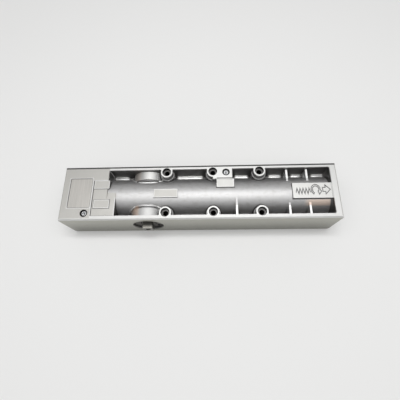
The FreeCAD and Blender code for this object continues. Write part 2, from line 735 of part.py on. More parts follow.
def make_front_cover():
    body = new_body("front_cover")
    tray = sketch_on(body, "tray", "XY_Plane")
    half_width = S.body_width / 2
    draw_box(tray, left_x, right_x, -half_width, half_width)
    solid = add(body, tray, S.cover_depth)

    rounding = body.newObject("PartDesign::Fillet", "front_cover_edges")
    outer_edges = [
        f"Edge{i}" for i, edge in enumerate(solid.Shape.Edges, start=1)
        if edge.BoundBox.ZMin < S.cover_plate.value
    ]
    rounding.Base = (solid, outer_edges)
    bind(rounding, "Radius", S.cover_edge)
    doc.recompute()

    hollow = sketch_on(body, "hollow", "XY_Plane", z=S.cover_depth)
    inner_x = right_x - S.side_wall
    draw_box(hollow, -inner_x, inner_x, -wall_y, wall_y)
    cut(body, hollow, S.cover_depth - S.cover_plate)

    tabs = sketch_on(body, "tabs", "XY_Plane", z=S.cover_plate)
    outer = wall_y - S.tab_gap
    for i in range(int(S.tab_pairs.value)):
        middle = left_x + S.tab_first + S.tab_step * i
        for side in (-1, 1):
            edges = sorted((outer * side, (outer - S.tab_thick) * side), key=lambda y: y.value)
            draw_box(tabs, middle - S.tab_length / 2, middle + S.tab_length / 2, *edges)
    add(body, tabs, S.cover_depth - S.cover_plate + S.tab_height)
    return node(body)


# Pinion, its bearings, seals and nuts

def tooth_flank(side, steps=5):
    """One involute flank of a tooth that points along the sketch's X axis, root first."""
    base = pitch_radius.value * math.cos(math.radians(S.pressure_angle.value))
    angle = math.radians(S.pressure_angle.value)
    half_tooth = math.pi / 2 + 2 * S.gear_shift.value * math.tan(angle)
    half_tooth = half_tooth / S.gear_teeth.value + math.tan(angle) - angle
    points = []
    for i in range(steps + 1):
        radius = base + (tip_radius.value - base) * (i / steps) ** 2
        roll = math.sqrt(max((radius / base) ** 2 - 1, 0))
        turned_by = half_tooth - (roll - math.atan(roll))
        points.append(FreeCAD.Vector(radius * math.cos(turned_by),
                                     side * radius * math.sin(turned_by), 0))
    return points


def draw_tooth(sketch):
    """One tooth, from inside the root circle to its tip."""
    upper, lower = tooth_flank(1), tooth_flank(-1)
    foot = (root_radius - S.tooth_rooted).value
    feet = [FreeCAD.Vector(foot, points[0].y * foot / points[0].x, 0) for points in (upper, lower)]
    upper_curve, lower_curve = Part.BSplineCurve(), Part.BSplineCurve()
    upper_curve.interpolate(upper)
    lower_curve.interpolate(lower)
    pieces = sketch.addGeometry([
        Part.LineSegment(feet[0], upper[0]), upper_curve,
        Part.LineSegment(upper[-1], lower[-1]), lower_curve,
        Part.LineSegment(lower[0], feet[1]), Part.LineSegment(feet[1], feet[0]),
    ])
    for piece in pieces:
        sketch.addConstraint(Sketcher.Constraint("Block", piece))


def make_pinion():
    body = new_body("pinion")
    shaft = sketch_on(body, "shaft", "XZ_Plane")
    bearing_start = S.nut_seat - S.shoulder_gap
    draw_outline(shaft, (
        (0, -spindle_end), (S.journal_radius, -spindle_end), (S.journal_radius, -bearing_start),
        (S.shoulder_radius, -bearing_start), (S.shoulder_radius, bearing_start),
        (S.journal_radius, bearing_start), (S.journal_radius, spindle_end), (0, spindle_end),
    ))
    turn(body, shaft, "Revolution", "V_Axis")

    core = sketch_on(body, "gear_core", "XY_Plane", z=-S.gear_width / 2)
    draw_circle(core, 0, 0, root_radius)
    add(body, core, S.gear_width)
    tooth = sketch_on(body, "tooth", "XY_Plane", z=-S.gear_width / 2)
    draw_tooth(tooth)
    repeat_round(body, add(body, tooth, S.gear_width), tooth, S.gear_teeth)

    half_square = S.spindle_square / 2
    clear = S.journal_radius * 2
    for name, height in (("near_square", S.square_length - spindle_end), ("far_square", spindle_end)):
        square = sketch_on(body, name, "XY_Plane", z=height)
        draw_box(square, -clear, clear, -clear, clear)
        draw_box(square, -half_square, half_square, -half_square, half_square)
        cut(body, square, S.square_length)
    deep = S.spindle_thread_deep
    for name, height in (("near_thread", deep - spindle_end), ("far_thread", spindle_end)):
        thread = sketch_on(body, name, "XY_Plane", z=height)
        draw_circle(thread, 0, 0, S.spindle_thread)
        cut(body, thread, deep)
    place(body, pinion_x, 0, S.axis_height, (0, 1, 0))
    return node(body)


def make_bearing_side(name, direction):
    """Bush, seal and threaded nut of one pinion bearing, made outwards from the middle."""
    seal_start = S.nut_seat + S.bearing_length
    seal_end = nut_face - S.nut_lip
    inner = S.journal_radius + S.running_gap
    outer = S.bearing_outer - S.fixed_gap
    bush = ring(f"{name}_bearing", inner, outer, S.nut_seat, seal_start)
    seal = ring(f"{name}_shaft_seal", inner, outer, seal_start, seal_end)
    thread = S.recess_radius - S.fixed_gap
    nut = turned(f"{name}_bearing_nut", (
        (S.bearing_outer, S.nut_seat), (thread, S.nut_seat), (thread, nut_face),
        (S.nut_mouth, nut_face), (S.nut_mouth, seal_end), (S.bearing_outer, seal_end),
    ))
    key = sketch_on(nut, "key", "XY_Plane", z=nut_face)
    tilt = math.radians(S.nut_key_turn.value)
    draw_circle(key, S.nut_key_circle * math.cos(tilt), S.nut_key_circle * math.sin(tilt), S.nut_key)
    repeat_round(nut, cut(nut, key, S.nut_key_deep), key, S.nut_keys)
    for piece in (bush, seal, nut):
        place(piece, pinion_x, 0, S.axis_height, direction)
        node(piece)


# Piston with its rack and valves

def draw_rack_tooth(sketch):
    """One rack tooth under the pinion, straight-sided, from below the root line to its tip."""
    slope = math.tan(math.radians(S.pressure_angle.value))
    half_datum = tooth_pitch / 4 - S.backlash / 2
    half_tip = half_datum - S.gear_module * slope
    foot = S.gear_module * S.gear_root + S.gear_tip_cut
    half_foot = half_datum + foot * slope
    tip_z = S.gear_module - rack_datum
    foot_z = -rack_datum - foot
    draw_outline(sketch, (
        (-half_foot, foot_z), (half_foot, foot_z), (half_tip, tip_z), (-half_tip, tip_z),
    ))


def make_piston():
    body = new_body("piston")
    rod = sketch_on(body, "rod", "YZ_Plane", y=S.axis_height, z=piston_left)
    draw_circle(rod, 0, 0, piston_radius)
    add(body, rod, piston_right - piston_left)

    window = sketch_on(body, "window", "XZ_Plane", y=S.axis_height)
    draw_box(window, window_left, window_right, -rack_root, tip_radius + S.tip_room)
    cut(body, window, S.bore_radius * 2 + S.cut_over, both_ways=True)

    tooth = sketch_on(body, "rack_tooth", "XZ_Plane", x=pinion_x + tooth_pitch, y=S.axis_height)
    draw_rack_tooth(tooth)
    first_tooth = add(body, tooth, S.rack_width, both_ways=True)
    rack = body.newObject("PartDesign::LinearPattern", "piston_rack")
    rack.Originals = [first_tooth]
    rack.Direction = (tooth, ["H_Axis"])
    rack.Reversed = True
    bind(rack, "Length", tooth_pitch * (S.rack_teeth - 1))
    bind(rack, "Occurrences", S.rack_teeth)
    body.Tip = rack
    doc.recompute()

    groove = sketch_on(body, "ring_groove", "XZ_Plane", y=S.axis_height)
    ring_left = piston_left + S.ring_place
    draw_box(groove, ring_left, ring_left + S.ring_width,
             piston_radius - S.ring_thick, piston_radius + S.cut_over)
    turn(body, groove, "Groove", "H_Axis")

    for name, start, inwards, head in (
        ("check", piston_left, True, S.left_head), ("relief", piston_right, False, S.right_head),
    ):
        for part, radius, depth in (("pocket", S.valve_pocket, S.valve_pocket_deep),
                                    ("port", S.valve_port, head + S.cut_over)):
            hole = sketch_on(body, f"{name}_{part}", "YZ_Plane", y=S.axis_height, z=start)
            draw_circle(hole, 0, 0, radius)
            cut(body, hole, depth, along_normal=inwards)
    return node(body)


def make_piston_fittings():
    along = (1, 0, 0)
    ring_left = piston_left + S.ring_place
    outer = S.bore_radius - S.running_gap / 2
    inner = piston_radius - S.ring_thick + S.fixed_gap
    gap = S.fixed_gap
    piston_ring = node(ring("piston_ring", inner, outer, gap, S.ring_width - gap))
    place(piston_ring, ring_left, 0, S.axis_height, along)

    reach = (S.ball_radius * S.ball_radius - S.valve_port * S.valve_port).sqrt()
    ball = node(doc.addObject("Part::Sphere", "check_valve_ball"))
    bind(ball, "Radius", S.ball_radius)
    place(ball, piston_left + S.valve_pocket_deep - reach - gap, 0, S.axis_height, along)

    fit = S.valve_pocket - gap
    retainer = node(ring("check_valve_retainer", S.retainer_port, fit, 0, S.retainer_length))
    place(retainer, piston_left, 0, S.axis_height, along)
    relief = node(ring("relief_valve", S.retainer_port, fit, 0, S.valve_pocket_deep))
    place(relief, piston_right - S.valve_pocket_deep, 0, S.axis_height, along)


# Closing spring and spring-force adjuster

def make_closing_spring():
    start = piston_right + S.spring_wire + S.spring_gap
    end = seat_left - S.spring_wire - S.spring_gap
    helix = doc.addObject("Part::Helix", "spring_path")
    bind(helix, "Radius", S.spring_radius)
    bind(helix, "Height", end - start)
    bind(helix, "Pitch", (end - start) / S.spring_turns)
    wire = doc.addObject("Part::Circle", "spring_section")
    bind(wire, "Radius", S.spring_wire)
    wire.Placement.Rotation = FreeCAD.Rotation(FreeCAD.Vector(1, 0, 0), 90)
    bind(wire, "Placement.Base.x", S.spring_radius)
    doc.recompute()
    spring = doc.addObject("Part::Sweep", "closing_spring")
    spring.Label = "closing_spring"
    spring.Sections = [wire]
    spring.Spine = (helix, [f"Edge{i + 1}" for i in range(len(helix.Shape.Edges))])
    spring.Solid = True
    spring.Frenet = True
    place(spring, start, 0, S.axis_height, (1, 0, 0))
    return node(spring)


def make_adjuster():
    along = (1, 0, 0)
    gap = S.running_gap
    seat = node(turned("spring_seat", (
        (S.screw_radius + gap, -S.seat_hub_length), (S.seat_hub, -S.seat_hub_length),
        (S.seat_hub, 0), (S.bore_radius - gap, 0), (S.bore_radius - gap, S.seat_thick),
        (S.screw_radius + gap, S.seat_thick),
    )))
    place(seat, seat_left, 0, S.axis_height, along)

    neck_start = -S.washer_thick - gap * 2
    collar_start = neck_start - S.collar_width
    cap_length = cap_outer - cap_inner
    clip_start = cap_length - S.cap_recess_deep + gap
    clip_end = clip_start + S.clip_thick
    clip_root = S.neck_radius - S.clip_groove
    ring_end = S.neck_ring_place + S.neck_cord
    ring_root = S.neck_radius + gap - S.neck_cord
    neck_end = cap_length - gap
    screw = node(turned("adjusting_screw", (
        (0, collar_start - S.screw_length), (S.screw_radius, collar_start - S.screw_length),
        (S.screw_radius, collar_start), (S.collar_radius, collar_start),
        (S.collar_radius, neck_start), (S.neck_radius, neck_start),
        (S.neck_radius, S.neck_ring_place), (ring_root - gap, S.neck_ring_place),
        (ring_root - gap, ring_end), (S.neck_radius, ring_end),
        (S.neck_radius, clip_start), (clip_root, clip_start),
        (clip_root, clip_end), (S.neck_radius, clip_end), (S.neck_radius, neck_end), (0, neck_end),
    )))
    key_socket(screw, S.screw_key, neck_end, S.screw_key_deep)
    clip_inner = clip_root + S.fixed_gap
    clip = node(turned("adjuster_circlip", (
        (clip_inner, clip_start), (S.clip_radius, clip_start),
        (S.clip_radius, clip_end), (clip_inner, clip_end),
    ), S.clip_angle))
    washer_inner = S.neck_radius + gap
    washer = node(ring("thrust_washer", washer_inner, S.washer_radius, -S.washer_thick - gap, -gap))
    neck_seal = node(sealing_ring("adjuster_o_ring", ring_root, S.neck_cord - gap))

    cap_fit = S.cap_radius - S.fixed_gap
    groove_root = S.cap_radius - S.cap_cord
    groove_end = S.cap_ring_place + S.cap_cord
    recess_floor = cap_length - S.cap_recess_deep
    cap = node(turned("right_end_cap", (
        (S.neck_radius + gap, 0), (cap_fit, 0), (cap_fit, S.cap_ring_place),
        (groove_root - S.fixed_gap, S.cap_ring_place), (groove_root - S.fixed_gap, groove_end),
        (cap_fit, groove_end), (cap_fit, cap_length), (S.cap_recess, cap_length),
        (S.cap_recess, recess_floor), (S.neck_radius + gap, recess_floor),
    )))
    key = sketch_on(cap, "key", "XY_Plane", z=cap_length)
    draw_circle(key, S.cap_key_circle, 0, S.cap_key)
    repeat_round(cap, cut(cap, key, S.cap_key_deep), key, S.cap_keys)
    cap_seal = node(sealing_ring("end_cap_o_ring", groove_root, S.cap_cord - S.fixed_gap))

    for piece in (screw, clip, washer, cap):
        place(piece, cap_inner, 0, S.axis_height, along)
    place(neck_seal, cap_inner + S.neck_ring_place + S.neck_cord / 2, 0, S.axis_height, along)
    place(cap_seal, cap_inner + S.cap_ring_place + S.cap_cord / 2, 0, S.axis_height, along)


# Oil valves and channel plugs

def make_valves():
    """Needle valves that are set with a screwdriver from the front, each with a sealing ring."""
    gap = S.running_gap
    radius = S.valve_radius - gap
    needle = S.valve_tip - gap
    root = S.valve_radius - S.valve_cord
    outwards = (0, 0, -1)
    head = S.valve_length - S.valve_sunk
    groove = head - S.valve_ring_place
    floor_height = S.cover_depth + S.valve_length
    rings = []
    for label, (x, y) in valve_places.items():
        valve = node(turned(label, (
            (0, -S.valve_tip_length + gap), (needle, -S.valve_tip_length / 2), (needle, gap),
            (radius, gap), (radius, groove), (root - gap, groove),
            (root - gap, groove + S.valve_cord), (radius, groove + S.valve_cord),
            (radius, head), (0, head),
        )))
        slot = sketch_on(valve, "slot", "XY_Plane", z=head)
        half = S.valve_slot / 2
        draw_box(slot, -S.valve_radius, S.valve_radius, -half, half)
        cut(valve, slot, S.valve_slot_deep)
        place(valve, x, y, floor_height, outwards)
        seal = sealing_ring(f"{label}_ring", root, S.valve_cord - gap)
        place(seal, x, y, floor_height - groove - S.valve_cord / 2, outwards)
        rings.append(seal)
    group = node(doc.addObject("Part::Compound", "valve_o_rings"))
    group.Links = rings


def make_channel_plugs():
    plugs = []
    for i, (x, y) in enumerate(plug_places):
        plug = turned(f"channel_plug_{i + 1}", (
            (0, 0), (S.plug_radius - S.fixed_gap, 0), (S.plug_radius - S.fixed_gap, S.plug_length),
            (0, S.plug_length),
        ))
        key_socket(plug, S.plug_key, S.plug_length, S.plug_key_deep)
        place(plug, x, y, S.body_depth - S.plug_sunk - S.plug_length)
        plugs.append(plug)
    group = node(doc.addObject("Part::Compound", "channel_plugs"))
    group.Links = plugs


make_housing()
make_front_cover()
make_pinion()
make_bearing_side("near", (0, -1, 0))
make_bearing_side("far", (0, 1, 0))
make_piston()
make_piston_fittings()
make_closing_spring()
make_adjuster()
make_valves()
make_channel_plugs()
doc.recompute()

for item in doc.Objects:
    if "Invalid" in item.State or "Error" in item.State:
        raise RuntimeError(f"{item.Name} failed: {item.State}")
for item in nodes:
    if item.Shape.isNull() or not item.Shape.isValid():
        raise RuntimeError(f"{item.Label} has no valid shape")

os.makedirs("parts", exist_ok=True)
for item in nodes:
    item.Shape.exportStep(f"parts/{item.Label}.step")
    print(f"{item.Label}: {len(item.Shape.Solids)} solid, {item.Shape.Volume:.1f} mm3")
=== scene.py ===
import json
import math

import bmesh
import bpy
from bpy.props import FloatProperty, FloatVectorProperty, IntProperty, PointerProperty
from mathutils import Matrix, Vector


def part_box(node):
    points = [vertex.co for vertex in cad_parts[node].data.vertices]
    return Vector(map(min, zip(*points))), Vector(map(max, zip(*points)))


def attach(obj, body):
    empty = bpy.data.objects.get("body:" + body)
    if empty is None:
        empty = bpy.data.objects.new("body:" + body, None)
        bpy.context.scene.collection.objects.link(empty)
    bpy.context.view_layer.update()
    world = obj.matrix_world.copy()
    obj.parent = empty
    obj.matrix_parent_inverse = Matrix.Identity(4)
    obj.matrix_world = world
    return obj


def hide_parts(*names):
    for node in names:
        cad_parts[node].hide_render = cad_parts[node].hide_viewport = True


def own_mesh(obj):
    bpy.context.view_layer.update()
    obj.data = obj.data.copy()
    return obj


# Overhead door closer that lies on its front cover, with the open back of its cast housing up.
# X runs along the body, Y across it, and Z comes out of the mounting face. Sizes are metres.

bl_info = {
    "name": "Overhead Door Closer",
    "version": (1, 0, 0),
    "blender": (4, 5, 0),
    "location": "View3D > Sidebar > Closer",
    "description": "Finishes, small pieces and a photo stage for an overhead door closer",
    "category": "Object",
}

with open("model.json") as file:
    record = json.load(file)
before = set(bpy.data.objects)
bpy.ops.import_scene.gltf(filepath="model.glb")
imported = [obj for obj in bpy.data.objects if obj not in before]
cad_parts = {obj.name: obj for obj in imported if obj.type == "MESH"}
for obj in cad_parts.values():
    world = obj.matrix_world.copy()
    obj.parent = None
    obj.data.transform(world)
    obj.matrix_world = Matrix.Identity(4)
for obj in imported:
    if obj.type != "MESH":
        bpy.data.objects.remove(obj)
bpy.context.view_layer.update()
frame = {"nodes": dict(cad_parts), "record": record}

MM = 0.001
MERGE_DISTANCE = 0.001 * MM
PLUG_RADIUS = 3 * MM

# Housing, pinion axis and fixing holes, from the frame
HALF_LENGTH, HALF_WIDTH, RIM_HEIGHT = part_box("housing")[1]
SPINDLE = sum(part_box("pinion"), Vector()) / 2
MOUNTS = {mount["name"]: mount for mount in frame["record"]["mounts"]}
HOLES = MOUNTS["fixing_holes_outer"]

# Raised pads and shallow recesses of the casting, in millimetres: middle in X and Y, half sizes
PADS = ((-103, 9.4, 8.2, 4.6), (-101.6, -12.4, 8.2, 4.6), (-34.4, -1.3, 12.5, 4.6),
        (28.6, 9.4, 9.2, 4.6), (118.1, -0.6, 20.3, 8.3))
LABEL_RECESS = (-125.4, 0, 12.2, 16.7)
RECESSES = (LABEL_RECESS, (-96, -5.8, 16, 19.8))
# Ribs, and the painted highlight strips along the valleys beside the barrel, in millimetres along X
RIBS = (39.8, 94.4, 115.4)
STRIPS = ((-97, -79), (-26, 5), (39, 56), (77, 93), (101.5, 115), (124, 139))

# How soft the edges between finishes are
SOFT = 0.3 * MM
CRISP = 0.2 * MM
FINE = 0.15 * MM
SHARP = 0.1 * MM


def colour(name, description, default):
    return FloatVectorProperty(name=name, description=description, subtype="COLOR", size=3,
                               min=0.0, max=1.0, default=default)


def length(name, description, default):
    return FloatProperty(name=name, description=description, unit="LENGTH", precision=5,
                         default=default)


class CloserFinish(bpy.types.PropertyGroup):
    """Colours of the closer's finishes, and of its painted shade and painted highlights."""

    cast: colour("Cast aluminium", "Bare die-cast skin of barrel, bosses and ribs",
                 (0.545, 0.543, 0.543))
    stain: colour("Oil stain", "Darker clouds on that skin", (0.485, 0.48, 0.475))
    # Beside the pinion bosses this warm tint is a painted brownish reflection; under the sign plate it
    # is a warm stain.
    tint: colour("Heat tint", "Warm tint beside the pinion bosses", (0.80, 0.67, 0.58))
    land: colour("Lands", "Flat lands at the closed end", (0.50, 0.492, 0.47))
    label: colour("Label recess", "Floor of the shallow label recess", (0.52, 0.505, 0.48))
    # Milled colour: the milled rim and hole rings, whose lighter colour is in part a painted highlight;
    # also the painted highlight on the drums, the near chamfer, the near rim strip and the pad edges.
    milled: colour("Milled rim", "Rim and hole rings that were milled after casting", (0.66, 0.66, 0.65))
    # Bright colour: painted highlight on rib tops, valley strips and beads; it also lightens the sign
    # plate.
    bright: colour("Bright edges", "Rib tops, valley strips, beads and sign plate", (0.84, 0.84, 0.83))
    # Painted shade: near-black for the inside of the holes and the plug sockets and rims.
    mouth: colour("Hole walls", "Inside of the holes", (0.05, 0.05, 0.05))
    # Painted shade: this dark colour stands for shade on the pocket walls, in the valleys, on the lip
    # faces, at the rib feet, under the hole rings, on the hole floors and in pad and recess corners.
    wall: colour("Pocket walls", "Upright walls of the open pockets", (0.15, 0.147, 0.145))
    # Painted dark reflection on the far chamfer.
    edge: colour("Far edge", "Dark edge behind the rim", (0.07, 0.07, 0.068))
    lacquer: colour("Silver lacquer", "Outside of housing and cover", (0.38, 0.377, 0.33))
    steel: colour("Turned steel", "Spindle and piston", (0.21, 0.205, 0.185))
    phosphate: colour("Black phosphate", "Bearing nuts and spring seat", (0.12, 0.115, 0.105))
    zinc: colour("Zinc plate", "Plugs, end cap and valve screws", (0.68, 0.69, 0.70))
    spring: colour("Spring steel", "Oiled spring wire", (0.16, 0.16, 0.17))
    bronze: colour("Sintered bronze", "Bushes and thrust washer", (0.50, 0.31, 0.13))
    # Black rubber; also the near-black of the painted shade on the nuts.
    rubber: colour("Black rubber", "Seals", (0.015, 0.015, 0.016))
    ring: colour("Sliding plastic", "Piston ring", (0.10, 0.07, 0.05))
    # The lines are painted dark, as painted shade along the raised strokes.
    sign: colour("Sign lines", "Raised lines of the adjusting sign", (0.18, 0.18, 0.18))


class CloserSign(bpy.types.PropertyGroup):
    """Raised sign on the plate beside the spring-force adjuster."""

    plate_left: length("Plate left", "Left edge of the sign plate", 97.8 * MM)
    plate_length: length("Plate length", "Sign plate along the body", 40.6 * MM)
    plate_width: length("Plate width", "Sign plate across the body", 16.6 * MM)
    plate_middle: length("Plate middle", "Middle of the plate across the body", -0.6 * MM)
    stroke: length("Stroke", "Width of a raised line", 0.7 * MM)
    rise: length("Rise", "Height of a raised line above the plate", 0.35 * MM)
    coils: IntProperty(name="Coils", description="Coils of the spring in the sign", default=5)


class CloserBead(bpy.types.PropertyGroup):
    """Cast beads on the barrel, round the foot of both pinion bosses."""

    height: length("Height", "From the barrel's axis to the middle of the bead", 21.6 * MM)
    crest: length("Crest", "From the middle of the body to the bead where it is highest", 12.8 * MM)
    foot: length("Foot", "From the middle of the body to the ends of the bead", 20.4 * MM)
    reach: length("Reach", "From the pinion axis to the ends of the bead", 20.5 * MM)
    thick: length("Thickness", "Radius of the bead", 0.9 * MM)


class CloserSpring(bpy.types.PropertyGroup):
    """Closing spring inside the barrel."""

    wire: length("Wire", "Radius of the spring wire", 2.2 * MM)
    piston_turns: IntProperty(name="Piston turns", description="Open turns that the piston presses",
                              default=6)
    seat_turns: IntProperty(name="Seat turns", description="Open turns that the seat presses", default=3)
    piston_travel: length("Piston travel", "How far the piston presses the spring", 31.4159 * MM)
    seat_travel: length("Seat travel", "How far the seat presses the spring", 12 * MM)


class CloserThread(bpy.types.PropertyGroup):
    """Screw thread in the spindle ends."""

    radius: length("Radius", "Wall of the tapped hole", 2.5 * MM)
    depth: length("Depth", "Length of the thread", 10 * MM)
    pitch: length("Pitch", "From one thread crest to the next", 1 * MM)
    crest: length("Crest", "Height of the thread above the wall", 0.28 * MM)


class CloserStage(bpy.types.PropertyGroup):
    """Camera, lamps and floor."""

    lens: FloatProperty(name="Lens", description="Focal length in millimetres", unit="CAMERA",
                        default=27.23669)
    eye: FloatVectorProperty(name="Camera place", description="Where the camera stands",
                             subtype="TRANSLATION", unit="LENGTH", precision=5,
                             default=(0.015084, -0.114187, 0.341305))
    tilt: FloatVectorProperty(name="Camera turn", description="Turn about X, Y and Z",
                              subtype="EULER", unit="ROTATION", precision=5,
                              default=(0.367224, 0.042401, -0.000007))
    shift: FloatVectorProperty(name="Camera shift", description="Shift of the picture, in widths",
                               size=2, precision=5, default=(-0.001747, -0.020281))
    floor: colour("Floor", "Pale floor and background", (0.805, 0.805, 0.80))
    floor_size: length("Floor size", "Edge of the floor", 8.0)
    sky: FloatProperty(name="Sky light", description="Strength of the light from all round",
                       default=0.33)


class Shade:
    """One socket of a material's nodes. Operators on it add Math nodes."""

    def __init__(self, tree, socket=None):
        self.tree = tree
        self.socket = socket

    def node(self, kind, settings=None, sockets=None, output=0):
        """Adds a node of any kind: first its settings, then the values or links of its sockets."""
        made = self.tree.nodes.new(kind)
        for name, value in (settings or {}).items():
            setattr(made, name, value)
        for name, value in (sockets or {}).items():
            if isinstance(value, Shade):
                self.tree.links.new(value.socket, made.inputs[name])
            else:
                made.inputs[name].default_value = value
        return Shade(self.tree, made.outputs[output])

    def output(self, name):
        """Another output of the same node."""
        return Shade(self.tree, self.socket.node.outputs[name])

    def axes(self):
        """X, Y and Z of this vector."""
        x = self.node("ShaderNodeSeparateXYZ", sockets={0: self}, output="X")
        return x, x.output("Y"), x.output("Z")

    def math(self, operation, *values):
        return self.node("ShaderNodeMath", {"operation": operation}, dict(enumerate(values)))

    def __add__(self, other):
        return self.math("ADD", self, other)

    def __radd__(self, other):
        return self.math("ADD", other, self)

    def __sub__(self, other):
        return self.math("SUBTRACT", self, other)

    def __rsub__(self, other):
        return self.math("SUBTRACT", other, self)

    def __mul__(self, other):
        return self.math("MULTIPLY", self, other)

    def __rmul__(self, other):
        return self.math("MULTIPLY", other, self)

    def __abs__(self):
        return self.math("ABSOLUTE", self)

    def larger(self, other):
        return self.math("MAXIMUM", self, other)

    def smaller(self, other):
        return self.math("MINIMUM", self, other)

    def hypot(self, other):
        return self.math("SQRT", self * self + other * other)

    def step(self, low, high):
        """0 below low, 1 above high and smooth between them. A low above high turns it round."""
        return self.node("ShaderNodeMapRange", {"interpolation_type": "SMOOTHSTEP"},
                         {"Value": self, "From Min": low, "From Max": high})

    def past(self, place, soft):
        """0 before a place and 1 past it, with a soft edge on both sides of it."""
        return self.step(place - soft, place + soft)

    def before(self, place, soft):
        """1 before a place and 0 past it, with a soft edge on both sides of it."""
        return self.step(place + soft, place - soft)

    def within(self, low, high, soft):
        """1 between low and high, with soft edges inside them."""
        return self.step(low, low + soft) * self.step(high, high - soft)

    def mix(self, low, high):
        """The colour low where this mask is 0, and high where it is 1."""
        low, high = [rgb if isinstance(rgb, Shade) else opaque(rgb) for rgb in (low, high)]
        return self.node("ShaderNodeMix", {"data_type": "RGBA"}, {0: self, 6: low, 7: high}, 2)

    def noise(self, grain, detail=2.0, stretch=(1, 1, 1)):
        """Noise with grains of that size in metres, drawn out by stretch along each axis."""
        scale = [1 / (grain * factor) for factor in stretch]
        scaled = self.node("ShaderNodeMapping", sockets={"Vector": self, "Scale": scale})
        return self.node("ShaderNodeTexNoise",
                         sockets={"Vector": scaled, "Scale": 1.0, "Detail": detail})


def opaque(rgb):
    return (*rgb, 1.0)


def toned(rgb, factor):
    """A colour made darker or lighter."""
    return [channel * factor for channel in rgb]


def start_material(name):
    """A material with one Principled shader, and a Shade of its Object coordinates."""
    material = bpy.data.materials.new(name)
    material.use_nodes = True
    return material, Shade(material.node_tree).node("ShaderNodeTexCoord", output="Object")


def finish_material(material, **sockets):
    """Feeds the Principled shader: values that stay the same, or Shades that change."""
    tree = material.node_tree
    shader = tree.nodes["Principled BSDF"]
    for name, value in sockets.items():
        socket = shader.inputs[name.replace("_", " ").title()]
        if isinstance(value, Shade):
            tree.links.new(value.socket, socket)
        else:
            socket.default_value = value
    return material


def bumped(height, strength, distance):
    """A Bump node of that height mask."""
    return height.node("ShaderNodeBump",
                       sockets={"Height": height, "Strength": strength, "Distance": distance})


# Finish of the casting

def from_outline(x, y, rectangles):
    """How far a place lies outside the nearest outline, or below 0 inside it."""
    nearest = None
    for middle_x, middle_y, half_x, half_y in rectangles:
        away = abs(x - middle_x * MM) - half_x * MM
        away = away.larger(abs(y - middle_y * MM) - half_y * MM)
        nearest = nearest.smaller(away) if nearest else away
    return nearest


def from_plugs(x, y):
    """Distance from the nearer one of the two channel plugs' axes."""
    low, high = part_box("channel_plugs")
    first, second = [(x - (corner.x + inwards)).hypot(y - (corner.y + inwards))
                     for corner, inwards in ((low, PLUG_RADIUS), (high, -PLUG_RADIUS))]
    return first.smaller(second)


def bead_line(bead, along):
    """How far a bead lies from the middle of the body, at a place along the body."""
    away = abs(along - SPINDLE.x)
    return bead.crest + away * away * away * ((bead.foot - bead.crest) / bead.reach ** 3)


class CastPlace:
    """A place on the casting: its coordinates, its depth below the rim, and where the rim is."""

    def __init__(self, place):
        rim_depth = 0.4 * MM
        far_land_offset = 9.1 * MM
        self.x, self.y, self.z = place.axes()
        self.off_middle = abs(self.y)
        self.depth = RIM_HEIGHT - self.z
        self.rim = self.depth.before(rim_depth, SHARP)
        # The lands end farther left on the far side. Along land_x they end at one place.
        self.land_x = self.x + self.y.past(0, SOFT) * far_land_offset


def outside_masks(at):
    """Lacquered sides, painted dark reflection on the far chamfer, painted highlight on the near
    chamfer, and painted highlight on the strip of the near rim.
    """
    chamfer = 1.2 * MM
    far_start = HALF_WIDTH - 2 * chamfer
    near_start = -28.1 * MM
    strip_start, strip_left = -25.5 * MM, -112.2 * MM

    side = at.off_middle.step(HALF_WIDTH - 2 * SOFT, HALF_WIDTH - SOFT)
    side = side.larger(abs(at.x).step(HALF_LENGTH - 2 * SOFT, HALF_LENGTH - SOFT))
    chamfered = at.depth.step(chamfer + SOFT, chamfer)
    far_edge = at.y.step(far_start, far_start + SOFT) * chamfered
    near_edge = at.y.before(near_start, SHARP) * chamfered
    near_strip = at.y.before(strip_start, SHARP) * at.x.past(strip_left, CRISP) * at.rim
    return side, far_edge, near_edge, near_strip


def pocket_masks(at):
    """Painted shade on the upright walls of the pockets and in the valleys beside the barrel, and the
    painted highlight strips in those valleys.
    """
    wall_y, end_wall, wall_top = (25.2 * MM, 29 * MM), 136 * MM, 1.8 * MM
    land_wall, barrel_middle, barrel_half = -87.2 * MM, 2 * MM, 8 * MM
    valley_side, valley_top = 27.5 * MM, 29 * MM
    strip_top, strip_fade = 27.4 * MM, 3 * MM

    walls = at.off_middle.within(*wall_y, SOFT).larger(at.x.past(end_wall, soft=0.4 * MM))
    beside_barrel = abs(at.y - barrel_middle).past(barrel_half, soft=1 * MM)
    walls = walls.larger(at.land_x.before(land_wall, SHARP) * beside_barrel)
    walls = walls * at.depth.past(wall_top, soft=0.6 * MM)
    valley = at.z.before(valley_top, soft=1 * MM)
    valley = valley * at.off_middle.before(valley_side, soft=0.5 * MM)
    strips = sum(at.x.within(left * MM, right * MM, strip_fade) for left, right in STRIPS)
    strips = strips * at.z.before(strip_top, soft=0.4 * MM)
    return walls * (1 - valley), valley, strips


def rib_masks(at):
    """Painted highlight on the tops of the ribs, and painted shade at the feet of their near halves."""
    half, rib_y, rib_top = 1.2 * MM, (14.8 * MM, 25.6 * MM), 5.55 * MM
    foot_x, foot_y, foot_top = (0.9 * MM, 4 * MM), -18.5 * MM, 5.8 * MM

    from_ribs = [abs(at.x - middle * MM) for middle in RIBS]
    tops = sum(away.before(half, SHARP) for away in from_ribs)
    tops = tops * at.off_middle.within(*rib_y, soft=0.4 * MM) * at.depth.before(rib_top, FINE)
    feet = sum(away.within(*foot_x, soft=1.2 * MM) for away in from_ribs)
    feet = feet * at.y.before(foot_y, soft=3.5 * MM) * at.depth.past(foot_top, CRISP)
    return tops, feet


